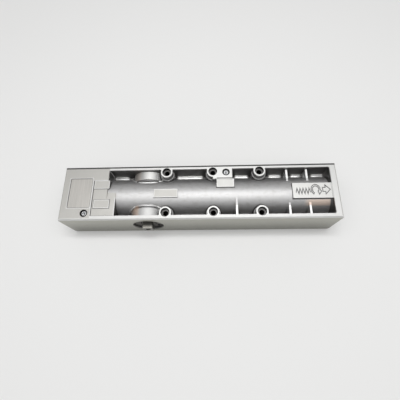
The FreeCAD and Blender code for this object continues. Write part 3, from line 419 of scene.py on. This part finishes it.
def land_masks(at):
    """Flat lands at the closed end, and the floor of the label recess in them."""
    land_end, land_depth = -86.95 * MM, 2.5 * MM
    floor_depth = (0.3 * MM, 0.7 * MM)
    middle, _, half_length, half_width = [size * MM for size in LABEL_RECESS]

    lands = at.land_x.before(land_end, soft=0.45 * MM)
    lands = lands * at.depth.before(land_depth, soft=0.5 * MM)
    label = at.x.within(middle - half_length, middle + half_length, SOFT)
    label = label * at.off_middle.step(half_width, half_width - SOFT)
    return lands, label * at.depth.within(*floor_depth, SHARP)


def hole_masks(at):
    """Painted shade in the fixing holes and plug holes and on their stepped floors, and painted shade
    under the hole rings.
    """
    mouth_radius, plug_radius, mouth_top = 4.775 * MM, 4.075 * MM, 0.35 * MM
    floor_depth = (4.1 * MM, 4.9 * MM)
    collar_radii, collar_top = (5.9 * MM, 9.5 * MM), 1.1 * MM
    row_end, row_fade = 1.225, 0.025
    hole_step = HOLES["dims"]["spacing_x_mm"] / 2 * MM
    row_y = HOLES["dims"]["spacing_y_mm"] / 2 * MM

    from_middle = at.x - HOLES["pos_m"][0]
    in_rows = abs(from_middle).before(hole_step * row_end, hole_step * row_fade)
    along = at.x.math("PINGPONG", from_middle, hole_step / 2)
    from_hole = along.hypot(at.off_middle - row_y)
    mouth = from_hole.before(mouth_radius, FINE / 2) * in_rows
    mouth = mouth.larger(from_plugs(at.x, at.y).before(plug_radius, FINE / 2))
    mouth = mouth * at.depth.past(mouth_top, FINE)
    collar = from_hole.within(*collar_radii, SOFT) * in_rows * at.depth.past(collar_top, SOFT)
    return mouth, mouth * at.depth.within(*floor_depth, CRISP), collar


def pad_masks(at):
    """Faces of the raised pads, painted highlight along the edges of pads, recesses and the near land
    end, and painted shade in their corners and steps.
    """
    line = 0.7 * MM
    pad_depth, corner_depth, recess_depth = 0.9 * MM, 0.85 * MM, 0.4 * MM
    recess_end = -87.8 * MM
    near_end, near_end_y, near_end_depth = (-88.3 * MM, -87.3 * MM), -5 * MM, 1.75 * MM
    plate_right, plate_half = (137.4 * MM, 138.5 * MM), 8.4 * MM
    seam_x, seam_y = (19.4 * MM, 37.8 * MM), (13 * MM, 15.4 * MM)
    middle_pad_x = (-60 * MM, 10 * MM)
    full_corner_shade, less_corner_shade = 0.85, 0.55

    to_pad = from_outline(at.x, at.y, PADS)
    to_recess = from_outline(at.x, at.y, RECESSES)
    on_lands = at.land_x.before(recess_end, CRISP)
    pad_level = at.depth.before(pad_depth, SHARP)
    faces = to_pad.before(0, FINE) * pad_level

    edge_highlight = to_pad.within(-line, FINE, FINE) * pad_level
    edge_highlight = edge_highlight.larger(to_recess.within(-FINE, line, FINE) * at.rim * on_lands)
    land_edge = at.land_x.within(*near_end, FINE) * at.y.before(near_end_y, soft=1 * MM)
    edge_highlight = edge_highlight.larger(land_edge * at.depth.before(near_end_depth, soft=0.25 * MM))

    corner_shade = to_pad.within(-FINE, line, FINE) * at.depth.past(corner_depth, soft=0.05 * MM)
    recess_corner = to_recess.within(-line, FINE, FINE) * at.depth.past(recess_depth, SHARP)
    corner_shade = corner_shade.larger(recess_corner * on_lands)
    corner_shade = corner_shade.larger(at.x.within(*plate_right, FINE) * at.off_middle.before(plate_half, CRISP))
    corner_shade = corner_shade.larger(at.x.within(*seam_x, SOFT) * at.y.within(*seam_y, SOFT))
    corner_shade = corner_shade * (full_corner_shade - at.x.within(*middle_pad_x, SOFT) * less_corner_shade)
    return faces, edge_highlight, corner_shade


def boss_masks(at, bead):
    """Drums of the pinion bosses, which take a painted highlight; painted shade on the faces and groove
    of their lips; and warm tints, a painted brownish reflection beside the bosses and a warm stain under
    the sign plate.
    """
    drum_radii, drum_start = (18 * MM, 19.5 * MM), 16 * MM
    lip_radii, lip_y = (17.2 * MM, 20.6 * MM), (13 * MM, 13.6 * MM)
    groove_radii, groove_y = (17.2 * MM, 21.2 * MM), (13 * MM, 16.2 * MM)
    tint_x, tint_y, far_loss = (-18 * MM, -6 * MM), (12 * MM, 28 * MM), 0.6
    end_tint_x, end_tint_y = (108 * MM, 142 * MM), (-16 * MM, -8.5 * MM)

    along = at.x - SPINDLE.x
    from_spindle = along.hypot(at.z - SPINDLE.z)
    drum = from_spindle.within(*drum_radii, CRISP)
    drum = drum * at.off_middle.past(drum_start, soft=0.5 * MM)
    # Painted shade on the front faces and the groove of the lips.
    lip = from_spindle.within(*lip_radii, CRISP) * at.off_middle.within(*lip_y, FINE)
    lip = lip.larger(from_spindle.within(*groove_radii, CRISP) * at.y.within(*groove_y, FINE))
    # Painted brownish reflection beside the bosses, weaker on the far side; the end tint is a warm stain
    # under the sign plate.
    tint = along.within(*tint_x, soft=4 * MM) * at.off_middle.within(*tint_y, soft=3 * MM)
    tint = tint * (1 - at.y.step(0, 1 * MM) * far_loss)
    tint = tint * (at.off_middle - bead_line(bead, at.x)).past(0, SOFT)
    end_tint = at.x.within(*end_tint_x, soft=8 * MM) * at.y.within(*end_tint_y, soft=2 * MM)
    return drum, lip, tint.larger(end_tint)


def make_cast_housing(look, bead):
    """Die casting: bare skin inside, milled rim, silver lacquer on the outside, with painted shade and
    painted highlights.
    """
    near_shine, tint_share, shade_share, lip_share = 0.6, 0.9, 0.7, 0.9
    streak_tone, foot_shade_tone, coat_foot, coat_top = 0.9, 0.62, 8 * MM, 46 * MM
    milled_pads, milled_share = 10.5 * MM, 0.5
    plate_pad, plate_share = 90.5 * MM, 0.3
    cast_rough, mottle_rough, side_gloss, strip_gloss, dulling = 0.52, 0.1, 0.22, 0.25, 0.05
    side_paint, flow_relief, flat_loss = 0.35, 0.3, 0.6

    material, place = start_material("cast_housing")
    at = CastPlace(place)
    side, far_edge, near_edge, near_strip = outside_masks(at)
    walls, valley, strips = pocket_masks(at)
    rib_tops, rib_feet = rib_masks(at)
    lands, label = land_masks(at)
    mouth, mouth_floor, collar = hole_masks(at)
    pad_faces, edge_highlight, corner_shade = pad_masks(at)
    drum, lip, tint = boss_masks(at, bead)
    grain = place.noise(0.5 * MM, detail=3.0)
    mottle = place.noise(5 * MM, detail=5.0)
    flow = place.noise(2.5 * MM, detail=3.0, stretch=(2, 1, 1))
    brushed = place.noise(0.8 * MM, detail=2.0, stretch=(1, 40, 1))

    skin = (mottle * flow).step(0.08, 0.30).mix(look.stain, look.cast)
    # Painted highlight: the drums take the milled colour, fully on the far drum and less on the near
    # one.
    drum_shine = at.y.past(0, soft=1 * MM) * (1 - near_shine) + near_shine
    skin = (drum * drum_shine).mix(skin, look.milled)
    skin = (tint * tint_share).mix(skin, look.tint)
    # Painted shade in the valleys beside the barrel, with painted highlight strips along them.
    skin = valley.mix(skin, strips.mix(look.wall, look.bright))
    # Painted highlight on the rib tops.
    skin = rib_tops.mix(skin, look.bright)
    shaded = (collar.larger(rib_feet) * shade_share).larger(lip * lip_share)
    # Painted shade on the pocket walls, under the hole rings, at the rib feet and on the lip faces.
    skin = walls.larger(shaded).mix(skin, look.wall)

    # The rim is milled, and its lighter colour is in part a painted highlight.
    base = at.rim.mix(skin, look.milled)
    base = lands.mix(base, look.land)
    streaks = brushed.step(0.3, 0.7).mix(toned(look.label, streak_tone), look.label)
    base = label.mix(base, streaks)
    pad_skin = (at.x.past(milled_pads, soft=0.5 * MM) * milled_share).mix(look.land, look.milled)
    pad_skin = (at.x.past(plate_pad, soft=0.5 * MM) * plate_share).mix(pad_skin, look.bright)
    base = pad_faces.mix(base, pad_skin)
    # Painted shade in the corners and steps of pads and recesses, less of it round the middle pad.
    base = corner_shade.mix(base, look.wall)
    # Painted highlight along the edges of pads, recesses and the near land end, and on the near rim
    # strip.
    base = edge_highlight.larger(near_strip).mix(base, look.milled)
    # Painted shade: near-black in the holes, and the dark shade colour on their stepped floors.
    base = mouth.mix(base, look.mouth)
    base = mouth_floor.mix(base, look.wall)
    # The lacquer is painted darker towards the bottom, a painted reflection of the floor's shadow.
    coat = at.z.step(coat_foot, coat_top).mix(toned(look.lacquer, foot_shade_tone), look.lacquer)
    base = side.mix(base, coat)
    # Painted highlight on the near chamfer, and painted dark reflection on the far chamfer.
    base = near_edge.mix(base, look.milled)
    base = far_edge.mix(base, look.edge)

    rough = cast_rough + mottle * mottle_rough - side * side_gloss - valley * strips * strip_gloss
    rough = rough + near_strip.larger(drum * at.y.step(0, -1 * MM)) * dulling
    flat = at.rim.larger(lands)
    height = grain * (1 - flat * flat_loss) + flow * flow_relief * (1 - flat)
    return finish_material(material, base_color=base, roughness=rough,
                           metallic=1 - side * side_paint,
                           normal=bumped(height, strength=0.2, distance=0.1 * MM))


# Other finishes

def finish_metal(material, base, rough, marks):
    """A metal whose tool marks change its gloss and stand in relief."""
    mark_rough = 0.14
    return finish_material(material, base_color=base, roughness=rough + marks * mark_rough,
                           metallic=1.0, normal=bumped(marks, strength=0.2, distance=0.04 * MM))


def make_plugs(look):
    """Zinc-plated plugs, with painted shade in the socket and round the rim."""
    socket_radius, rim_start, rim_full = 1.175 * MM, 2.0 * MM, 2.4 * MM
    material, place = start_material("plug_zinc")
    x, y, _ = place.axes()
    away = from_plugs(x, y)
    # Painted shade in the socket and round the rim.
    painted_shade = away.before(socket_radius, FINE / 2).larger(away.step(rim_start, rim_full))
    marks = place.noise(0.4 * MM, detail=3.0)
    return finish_metal(material, painted_shade.mix(look.zinc, look.mouth), rough=0.34, marks=marks)


def make_nuts(look):
    """Black phosphate of the bearing nuts, with painted shade in the spanner holes and a painted shadow
    over one half.
    """
    hole_turn, hole_circle, hole_radius = math.radians(55), 12 * MM, 1.85 * MM
    half_shadow_reach, half_shadow_share = 14 * MM, 0.8
    material, place = start_material("nut_phosphate")
    x, y, z = place.axes()
    away_x = (SPINDLE.x - x) * x.math("SIGN", y)
    away_z = z - SPINDLE.z
    along = abs(away_x * math.cos(hole_turn) + away_z * math.sin(hole_turn))
    across = abs(away_z * math.cos(hole_turn) - away_x * math.sin(hole_turn))
    to_hole = (along - hole_circle).hypot(across).smaller(along.hypot(across - hole_circle))
    marks = place.noise(0.3 * MM, detail=3.0)
    clouds = place.noise(4 * MM, detail=3.0).step(0.3, 0.7)
    half_shadow = away_x.step(0, half_shadow_reach) * clouds * half_shadow_share
    # Painted shade in the spanner holes and painted shadow on one half, in the rubber's near-black.
    painted_shade = to_hole.before(hole_radius, FINE).larger(half_shadow)
    return finish_metal(material, painted_shade.mix(look.phosphate, look.rubber), rough=0.42, marks=marks)


def make_lacquer(look):
    """Fine silver lacquer of the front cover."""
    dark_tone, light_tone = 0.64, 0.7
    rough, flake_rough = 0.34, 0.16
    material, place = start_material("silver_lacquer")
    flake = place.noise(0.25 * MM)
    cloud = place.noise(12 * MM)
    base = cloud.mix(toned(look.lacquer, dark_tone), toned(look.lacquer, light_tone))
    return finish_material(material, base_color=base, roughness=rough + flake * flake_rough,
                           metallic=0.65, normal=bumped(flake, strength=0.15, distance=0.05 * MM))


def make_metal(name, rgb, rough, grain, stretch, wear):
    """A metal with fine tool marks and slight stains."""
    material, place = start_material(name)
    marks = place.noise(grain, detail=3.0, stretch=stretch)
    stain = place.noise(5 * MM, detail=4.0)
    base = stain.step(0.3, 0.7).mix(toned(rgb, wear), rgb)
    return finish_metal(material, base, rough, marks)


def make_dull(name, rgb, rough):
    """Rubber or plastic with a faint moulded grain."""
    bloom_tone, grain_rough = 1.6, 0.15
    material, place = start_material(name)
    grain = place.noise(0.3 * MM)
    bloom = place.noise(4 * MM, detail=3.0)
    base = bloom.mix(rgb, toned(rgb, bloom_tone))
    return finish_material(material, base_color=base, roughness=rough + grain * grain_rough,
                           normal=bumped(grain, strength=0.2, distance=0.04 * MM))


# Ways that tool marks run: evenly, round Y or round X
ALL_WAYS = (1, 1, 1)
ROUND_Y = (1, 0.1, 1)
ROUND_X = (0.1, 1, 1)

STEEL_NODES = ("pinion", "piston", "check_valve_ball")
NUT_NODES = ("near_bearing_nut", "far_bearing_nut")
ZINC_NODES = ("check_valve_retainer", "relief_valve", "adjusting_screw", "right_end_cap",
              "closing_speed_valve", "latching_speed_valve", "backcheck_valve")
SPRING_NODES = ("closing_spring", "adjuster_circlip")
BRONZE_NODES = ("near_bearing", "far_bearing", "thrust_washer")
RUBBER_NODES = ("near_shaft_seal", "far_shaft_seal", "adjuster_o_ring", "end_cap_o_ring",
                "valve_o_rings")


def dress(node_names, material):
    for name in node_names:
        slots = frame["nodes"][name].data.materials
        slots.clear()
        slots.append(material)


class CLOSER_OT_finishes(bpy.types.Operator):
    """Gives every solid of the closer its finish"""

    bl_idname = "closer.finishes"
    bl_label = "Finishes"

    def execute(self, context):
        look = context.scene.closer_finish
        dress(["housing"], make_cast_housing(look, context.scene.closer_bead))
        dress(["channel_plugs"], make_plugs(look))
        dress(["front_cover"], make_lacquer(look))
        dress(NUT_NODES, make_nuts(look))
        dress(STEEL_NODES, make_metal("turned_steel", look.steel, rough=0.34, grain=0.4 * MM,
                                      stretch=ROUND_Y, wear=0.8))
        dress(["spring_seat"], make_metal("black_phosphate", look.phosphate, rough=0.42,
                                          grain=0.3 * MM, stretch=ALL_WAYS, wear=0.7))
        dress(ZINC_NODES, make_metal("zinc_plate", look.zinc, rough=0.26, grain=0.5 * MM,
                                     stretch=ALL_WAYS, wear=0.85))
        dress(SPRING_NODES, make_metal("spring_steel", look.spring, rough=0.3, grain=0.4 * MM,
                                       stretch=ROUND_X, wear=0.8))
        dress(BRONZE_NODES, make_metal("sintered_bronze", look.bronze, rough=0.45, grain=0.3 * MM,
                                       stretch=ALL_WAYS, wear=0.7))
        dress(RUBBER_NODES, make_dull("black_rubber", look.rubber, rough=0.5))
        dress(["piston_ring"], make_dull("sliding_plastic", look.ring, rough=0.4))
        return {"FINISHED"}


def add_piece(name, mesh, body, material, smooth=False):
    """Turns a bmesh into a piece that rides on a CAD body."""
    bmesh.ops.remove_doubles(mesh, verts=mesh.verts, dist=MERGE_DISTANCE)
    bmesh.ops.recalc_face_normals(mesh, faces=mesh.faces)
    for face in mesh.faces:
        face.smooth = smooth
    data = bpy.data.meshes.new(name)
    mesh.to_mesh(data)
    mesh.free()
    data.materials.append(material)
    piece = bpy.data.objects.new(name, data)
    bpy.context.scene.collection.objects.link(piece)
    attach(piece, body)
    return piece


# Sign beside the spring-force adjuster

def plate_height(x, y):
    """Height of the housing's upper face at x, y."""
    above = 10 * MM
    start = Vector((x, y, RIM_HEIGHT + above))
    hit, spot, _, _ = frame["nodes"]["housing"].ray_cast(start, Vector((0, 0, -1)))
    if not hit:
        raise RuntimeError("the sign has no plate under it")
    return spot.z


def draw_line(mesh, points, closed=False):
    """A chain of edges through points on the plate."""
    verts = [mesh.verts.new((x, y, 0)) for x, y in points]
    pairs = list(zip(verts, verts[1:]))
    if closed:
        pairs.append((verts[-1], verts[0]))
    for pair in pairs:
        mesh.edges.new(pair)


def raise_lines(mesh, stroke, rise):
    """Makes raised walls of all lines: each edge is drawn up and given the stroke's thickness."""
    drawn = bmesh.ops.extrude_edge_only(mesh, edges=mesh.edges[:])["geom"]
    tops = [item for item in drawn if isinstance(item, bmesh.types.BMVert)]
    bmesh.ops.translate(mesh, verts=tops, vec=(0, 0, rise))
    bmesh.ops.solidify(mesh, geom=mesh.faces[:], thickness=stroke)


def sign_spring(mesh, left, right, middle, half, coils):
    """A zigzag spring."""
    step = (right - left) / (2 * coils)
    points = [(left, middle - half)]
    for i in range(1, 2 * coils + 1):
        points.append((left + step * i, middle + (half if i % 2 else -half)))
    draw_line(mesh, points)


def sign_turn(mesh, x, y, radius):
    """An outlined round arrow that runs over the top, with its head at the right."""
    inner = radius * 0.6
    barb = radius * 0.25
    tip = radius * 0.65
    narrow = 0.85
    first_angle, angle_step, angle_count = 245, 25, 11
    angles = [math.radians(first_angle - angle_step * i) for i in range(angle_count)]
    band = [(radius * math.cos(a), radius * math.sin(a)) for a in angles]
    back = [(inner * math.cos(a), inner * math.sin(a)) for a in reversed(angles)]
    head = [(radius + barb, -barb), (tip, -radius), (inner - barb, -barb)]
    draw_line(mesh, [(x + dx * narrow, y + dy) for dx, dy in band + head + back], closed=True)


def sign_arrow(mesh, left, right, middle, half):
    """An outlined straight arrow that points right."""
    neck = right - half
    thin = half * 0.45
    draw_line(mesh, ((left, middle - thin), (neck, middle - thin), (neck, middle - half),
                     (right, middle), (neck, middle + half), (neck, middle + thin),
                     (left, middle + thin)), closed=True)


class CLOSER_OT_sign(bpy.types.Operator):
    """Raises the adjusting sign on its plate: a spring, a turning arrow and a straight arrow"""

    bl_idname = "closer.sign"
    bl_label = "Adjusting Sign"

    def execute(self, context):
        sign = context.scene.closer_sign
        look = context.scene.closer_finish
        spring_left, spring_right, turn_x, arrow_left, arrow_right = [
            sign.plate_left + sign.plate_length * share for share in (0.07, 0.45, 0.575, 0.76, 0.93)]
        middle = sign.plate_middle + sign.plate_width * 0.04
        arrow_half = sign.plate_width * 0.25
        spring_half = arrow_half * 0.72
        turn_radius = arrow_half * 1.45
        mesh = bmesh.new()
        sign_spring(mesh, spring_left, spring_right, middle, spring_half, sign.coils)
        sign_turn(mesh, turn_x, middle, turn_radius)
        sign_arrow(mesh, arrow_left, arrow_right, middle, arrow_half)
        raise_lines(mesh, sign.stroke, sign.rise)
        floor = plate_height(turn_x, middle)
        bmesh.ops.translate(mesh, verts=mesh.verts, vec=(0, 0, floor))
        # The raised lines are painted dark, as painted shade along their sides.
        skin = make_metal("sign_relief", look.sign, rough=0.45, grain=0.4 * MM,
                          stretch=ALL_WAYS, wear=0.8)
        add_piece("adjusting_sign", mesh, "housing_body", skin)
        return {"FINISHED"}


# Beads beside the pinion bosses

def sweep(mesh, path, radius, sides=8):
    """A round bead along a path, with closed ends."""
    last = len(path) - 1
    before = None
    for i, point in enumerate(path):
        course = path[min(i + 1, last)] - path[max(i - 1, 0)]
        turn = course.to_track_quat("Z", "Y").to_matrix().to_4x4()
        ring = bmesh.ops.create_circle(mesh, cap_ends=i in (0, last), segments=sides, radius=radius,
                                       matrix=Matrix.Translation(point) @ turn)["verts"]
        edges = list({edge for vert in ring for edge in vert.link_edges})
        if before:
            bmesh.ops.bridge_loops(mesh, edges=before + edges)
        before = edges


class CLOSER_OT_beads(bpy.types.Operator):
    """Casts the beads on the barrel, round the foot of both pinion bosses"""

    bl_idname = "closer.beads"
    bl_label = "Boss Beads"

    def execute(self, context):
        bead = context.scene.closer_bead
        look = context.scene.closer_finish
        # The beads take the bright colour, as a painted highlight.
        skin = make_metal("bead_skin", look.bright, rough=0.4, grain=0.5 * MM,
                          stretch=ALL_WAYS, wear=0.9)
        steps = 32
        for name, side in (("near_boss_bead", -1), ("far_boss_bead", 1)):
            path = []
            for i in range(steps + 1):
                along = SPINDLE.x + bead.reach * (2 * i / steps - 1)
                across = bead_line(bead, along)
                rise = math.sqrt(bead.height ** 2 - across ** 2)
                path.append(Vector((along, side * across, SPINDLE.z + rise)))
            mesh = bmesh.new()
            sweep(mesh, path, bead.thick)
            add_piece(name, mesh, "housing_body", skin, smooth=True)
        return {"FINISHED"}


# Closing spring

def wind(mesh, start, axis, radius, wire, sections, sides=10, steps=24):
    """Winds a wire round axis, from start along X. Each section has its turns and its pitch."""
    ring = bmesh.ops.create_circle(mesh, segments=sides, radius=wire)["verts"]
    to_start = Matrix.Translation((start, axis.y, axis.z + radius))
    bmesh.ops.transform(mesh, matrix=to_start @ Matrix.Rotation(math.pi / 2, 4, "X"), verts=ring)
    geometry = mesh.edges[:]
    for turns, pitch in sections:
        wound = bmesh.ops.spin(mesh, geom=geometry, cent=axis, axis=(1, 0, 0),
                               angle=2 * math.pi * turns, steps=steps * turns,
                               dvec=(pitch / steps, 0, 0), use_merge=False)
        geometry = [item for item in wound["geom_last"] if isinstance(item, bmesh.types.BMEdge)]
    bmesh.ops.holes_fill(mesh, edges=mesh.edges, sides=0)


class CLOSER_OT_spring(bpy.types.Operator):
    """Winds the closing spring in two lengths, one that the piston presses and one that the seat does"""

    bl_idname = "closer.spring"
    bl_label = "Closing Spring"

    def execute(self, context):
        spring = context.scene.closer_spring
        look = context.scene.closer_finish
        low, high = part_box("closing_spring")
        axis = (low + high) / 2
        radius = (high.z - low.z) / 2 - spring.wire
        closed_pitch = spring.wire * 2.02
        open_turns = spring.piston_turns + spring.seat_turns
        pitch = (high.x - low.x - 2 * spring.wire - 2 * closed_pitch) / open_turns
        start = low.x + spring.wire
        middle = start + closed_pitch + spring.piston_turns * pitch
        metal = make_metal("spring_wire", look.spring, rough=0.3, grain=0.4 * MM,
                           stretch=ROUND_X, wear=0.8)
        lengths = (
            ("piston_side_coils", "piston_slide", start,
             ((1, closed_pitch), (spring.piston_turns, pitch)), middle - low.x, spring.piston_travel),
            ("seat_side_coils", "seat_slide", middle,
             ((spring.seat_turns, pitch), (1, closed_pitch)), high.x - middle, spring.seat_travel),
        )
        for name, joint, first, sections, free, travel in lengths:
            mesh = bmesh.new()
            wind(mesh, first, axis, radius, spring.wire, sections)
            piece = add_piece(name, mesh, "housing_body", metal, smooth=True)
            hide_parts("closing_spring")
            (free - travel) / free
            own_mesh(piece)
        return {"FINISHED"}


# Screw threads in the spindle ends

class CLOSER_OT_threads(bpy.types.Operator):
    """Cuts the look of a screw thread into both spindle ends"""

    bl_idname = "closer.threads"
    bl_label = "Spindle Threads"

    def execute(self, context):
        thread = context.scene.closer_thread
        look = context.scene.closer_finish
        low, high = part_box("pinion")
        steel = make_metal("thread_steel", look.steel, rough=0.3, grain=0.3 * MM,
                           stretch=ALL_WAYS, wear=0.6)
        wall = SPINDLE.z + thread.radius
        foot = thread.pitch * 0.36
        tip = foot * 0.2
        turns = int(thread.depth / thread.pitch) - 1
        steps = 16
        for name, end, inwards in (("near_thread", low.y, 1), ("far_thread", high.y, -1)):
            mesh = bmesh.new()
            start = end + inwards * thread.pitch
            profile = [mesh.verts.new((SPINDLE.x, start + along, wall - rise)) for along, rise in
                       ((-foot, 0), (-tip, thread.crest), (tip, thread.crest), (foot, 0))]
            for pair in zip(profile, profile[1:] + profile[:1]):
                mesh.edges.new(pair)
            bmesh.ops.spin(mesh, geom=mesh.edges[:], cent=SPINDLE, axis=(0, 1, 0),
                           angle=2 * math.pi * turns, steps=steps * turns,
                           dvec=(0, inwards * thread.pitch / steps, 0), use_merge=False)
            bmesh.ops.holes_fill(mesh, edges=mesh.edges, sides=0)
            add_piece(name, mesh, "pinion_body", steel)
        return {"FINISHED"}


# Stage

# Soft lamps that point at the closer: name, place, size and watts
LAMPS = (("bar", (0.0, 0.06, 1.0), (1.4, 0.16), 3.3),
         ("key", (0.03, 0.13, 1.0), (0.5, 0.1), 3.0),
         ("softbox", (0.0, -0.3, 1.0), (1.6, 0.7), 2.9))


def add_lamp(name, place, size, watts):
    """A soft rectangular lamp that points at the origin, under the middle of the closer."""
    lamp = bpy.data.lights.new(name, "AREA")
    lamp.shape = "RECTANGLE"
    lamp.size, lamp.size_y = size
    lamp.energy = watts
    item = bpy.data.objects.new(name, lamp)
    item.location = place
    item.rotation_euler = (-Vector(place)).to_track_quat("-Z", "Y").to_euler()
    bpy.context.scene.collection.objects.link(item)


def make_floor_material(stage):
    """Pale floor that keeps the shadow near the closer and shows its own colour farther away."""
    shadow_radius, plain_radius = 0.3, 1.0
    plain_share = 0.15
    material, place = start_material("pale_floor")
    tree = material.node_tree
    finish_material(material, base_color=opaque(stage.floor), roughness=0.9)
    glow = place.node("ShaderNodeEmission", sockets={"Color": opaque(stage.floor), "Strength": 1.0})
    rays = place.node("ShaderNodeLightPath", output="Is Camera Ray")
    seen = rays.larger(rays.output("Is Glossy Ray")).larger(rays.output("Is Transmission Ray"))
    x, y, _ = place.axes()
    far = x.hypot(y).step(shadow_radius, plain_radius)
    plain = seen * (far * (1 - plain_share) + plain_share)
    shader = Shade(tree, tree.nodes["Principled BSDF"].outputs[0])
    mixed = place.node("ShaderNodeMixShader", sockets={0: plain, 1: shader, 2: glow})
    tree.links.new(mixed.socket, tree.nodes["Material Output"].inputs["Surface"])
    return material


def make_sky(stage):
    """Even light from above, and a pale horizon that looks like the floor."""
    sky_start, horizon_top = 0.5, 0.28
    world = bpy.data.worlds.new("studio_sky")
    bpy.context.scene.world = world
    world.use_nodes = True
    tree = world.node_tree
    height = Shade(tree).node("ShaderNodeTexCoord", output="Generated").axes()[2]
    strength = height.step(sky_start, horizon_top) * (1 - stage.sky) + stage.sky
    background = tree.nodes["Background"]
    background.inputs["Color"].default_value = opaque(stage.floor)
    tree.links.new(strength.socket, background.inputs["Strength"])


class CLOSER_OT_stage(bpy.types.Operator):
    """Sets the floor, the lamps and the camera"""

    bl_idname = "closer.stage"
    bl_label = "Stage"

    def execute(self, context):
        scene = context.scene
        stage = scene.closer_stage
        scene.view_settings.view_transform = "Standard"
        mesh = bmesh.new()
        bmesh.ops.create_grid(mesh, x_segments=1, y_segments=1, size=stage.floor_size / 2)
        data = bpy.data.meshes.new("floor")
        mesh.to_mesh(data)
        mesh.free()
        data.materials.append(make_floor_material(stage))
        floor = bpy.data.objects.new("floor", data)
        scene.collection.objects.link(floor)
        make_sky(stage)
        for lamp in LAMPS:
            add_lamp(*lamp)

        lens = bpy.data.cameras.new("photo_camera")
        lens.lens = stage.lens
        lens.shift_x, lens.shift_y = stage.shift
        camera = bpy.data.objects.new("photo_camera", lens)
        camera.location = stage.eye
        camera.rotation_euler = stage.tilt
        scene.collection.objects.link(camera)
        scene.camera = camera
        return {"FINISHED"}


class CLOSER_PT_panel(bpy.types.Panel):
    """Lists the steps and sizes of the closer"""

    bl_idname = "CLOSER_PT_panel"
    bl_label = "Door Closer"
    bl_space_type = "VIEW_3D"
    bl_region_type = "UI"
    bl_category = "Closer"

    def draw(self, context):
        for operator in OPERATORS:
            self.layout.operator(operator.bl_idname)
        for name, group in GROUPS.items():
            box = self.layout.box()
            box.label(text=group.__doc__)
            for key in group.__annotations__:
                box.prop(getattr(context.scene, name), key)


GROUPS = {
    "closer_finish": CloserFinish,
    "closer_sign": CloserSign,
    "closer_bead": CloserBead,
    "closer_spring": CloserSpring,
    "closer_thread": CloserThread,
    "closer_stage": CloserStage,
}
OPERATORS = (CLOSER_OT_finishes, CLOSER_OT_sign, CLOSER_OT_beads, CLOSER_OT_spring,
             CLOSER_OT_threads, CLOSER_OT_stage)
CLASSES = (*GROUPS.values(), *OPERATORS, CLOSER_PT_panel)


def register():
    for item in CLASSES:
        bpy.utils.register_class(item)
    for name, group in GROUPS.items():
        setattr(bpy.types.Scene, name, PointerProperty(type=group))


def unregister():
    for name in GROUPS:
        delattr(bpy.types.Scene, name)
    for item in reversed(CLASSES):
        bpy.utils.unregister_class(item)


def main():
    register()
    bpy.ops.closer.finishes()
    bpy.ops.closer.sign()
    bpy.ops.closer.beads()
    bpy.ops.closer.spring()
    bpy.ops.closer.threads()
    bpy.ops.closer.stage()


if __name__ == "__main__":
    main()
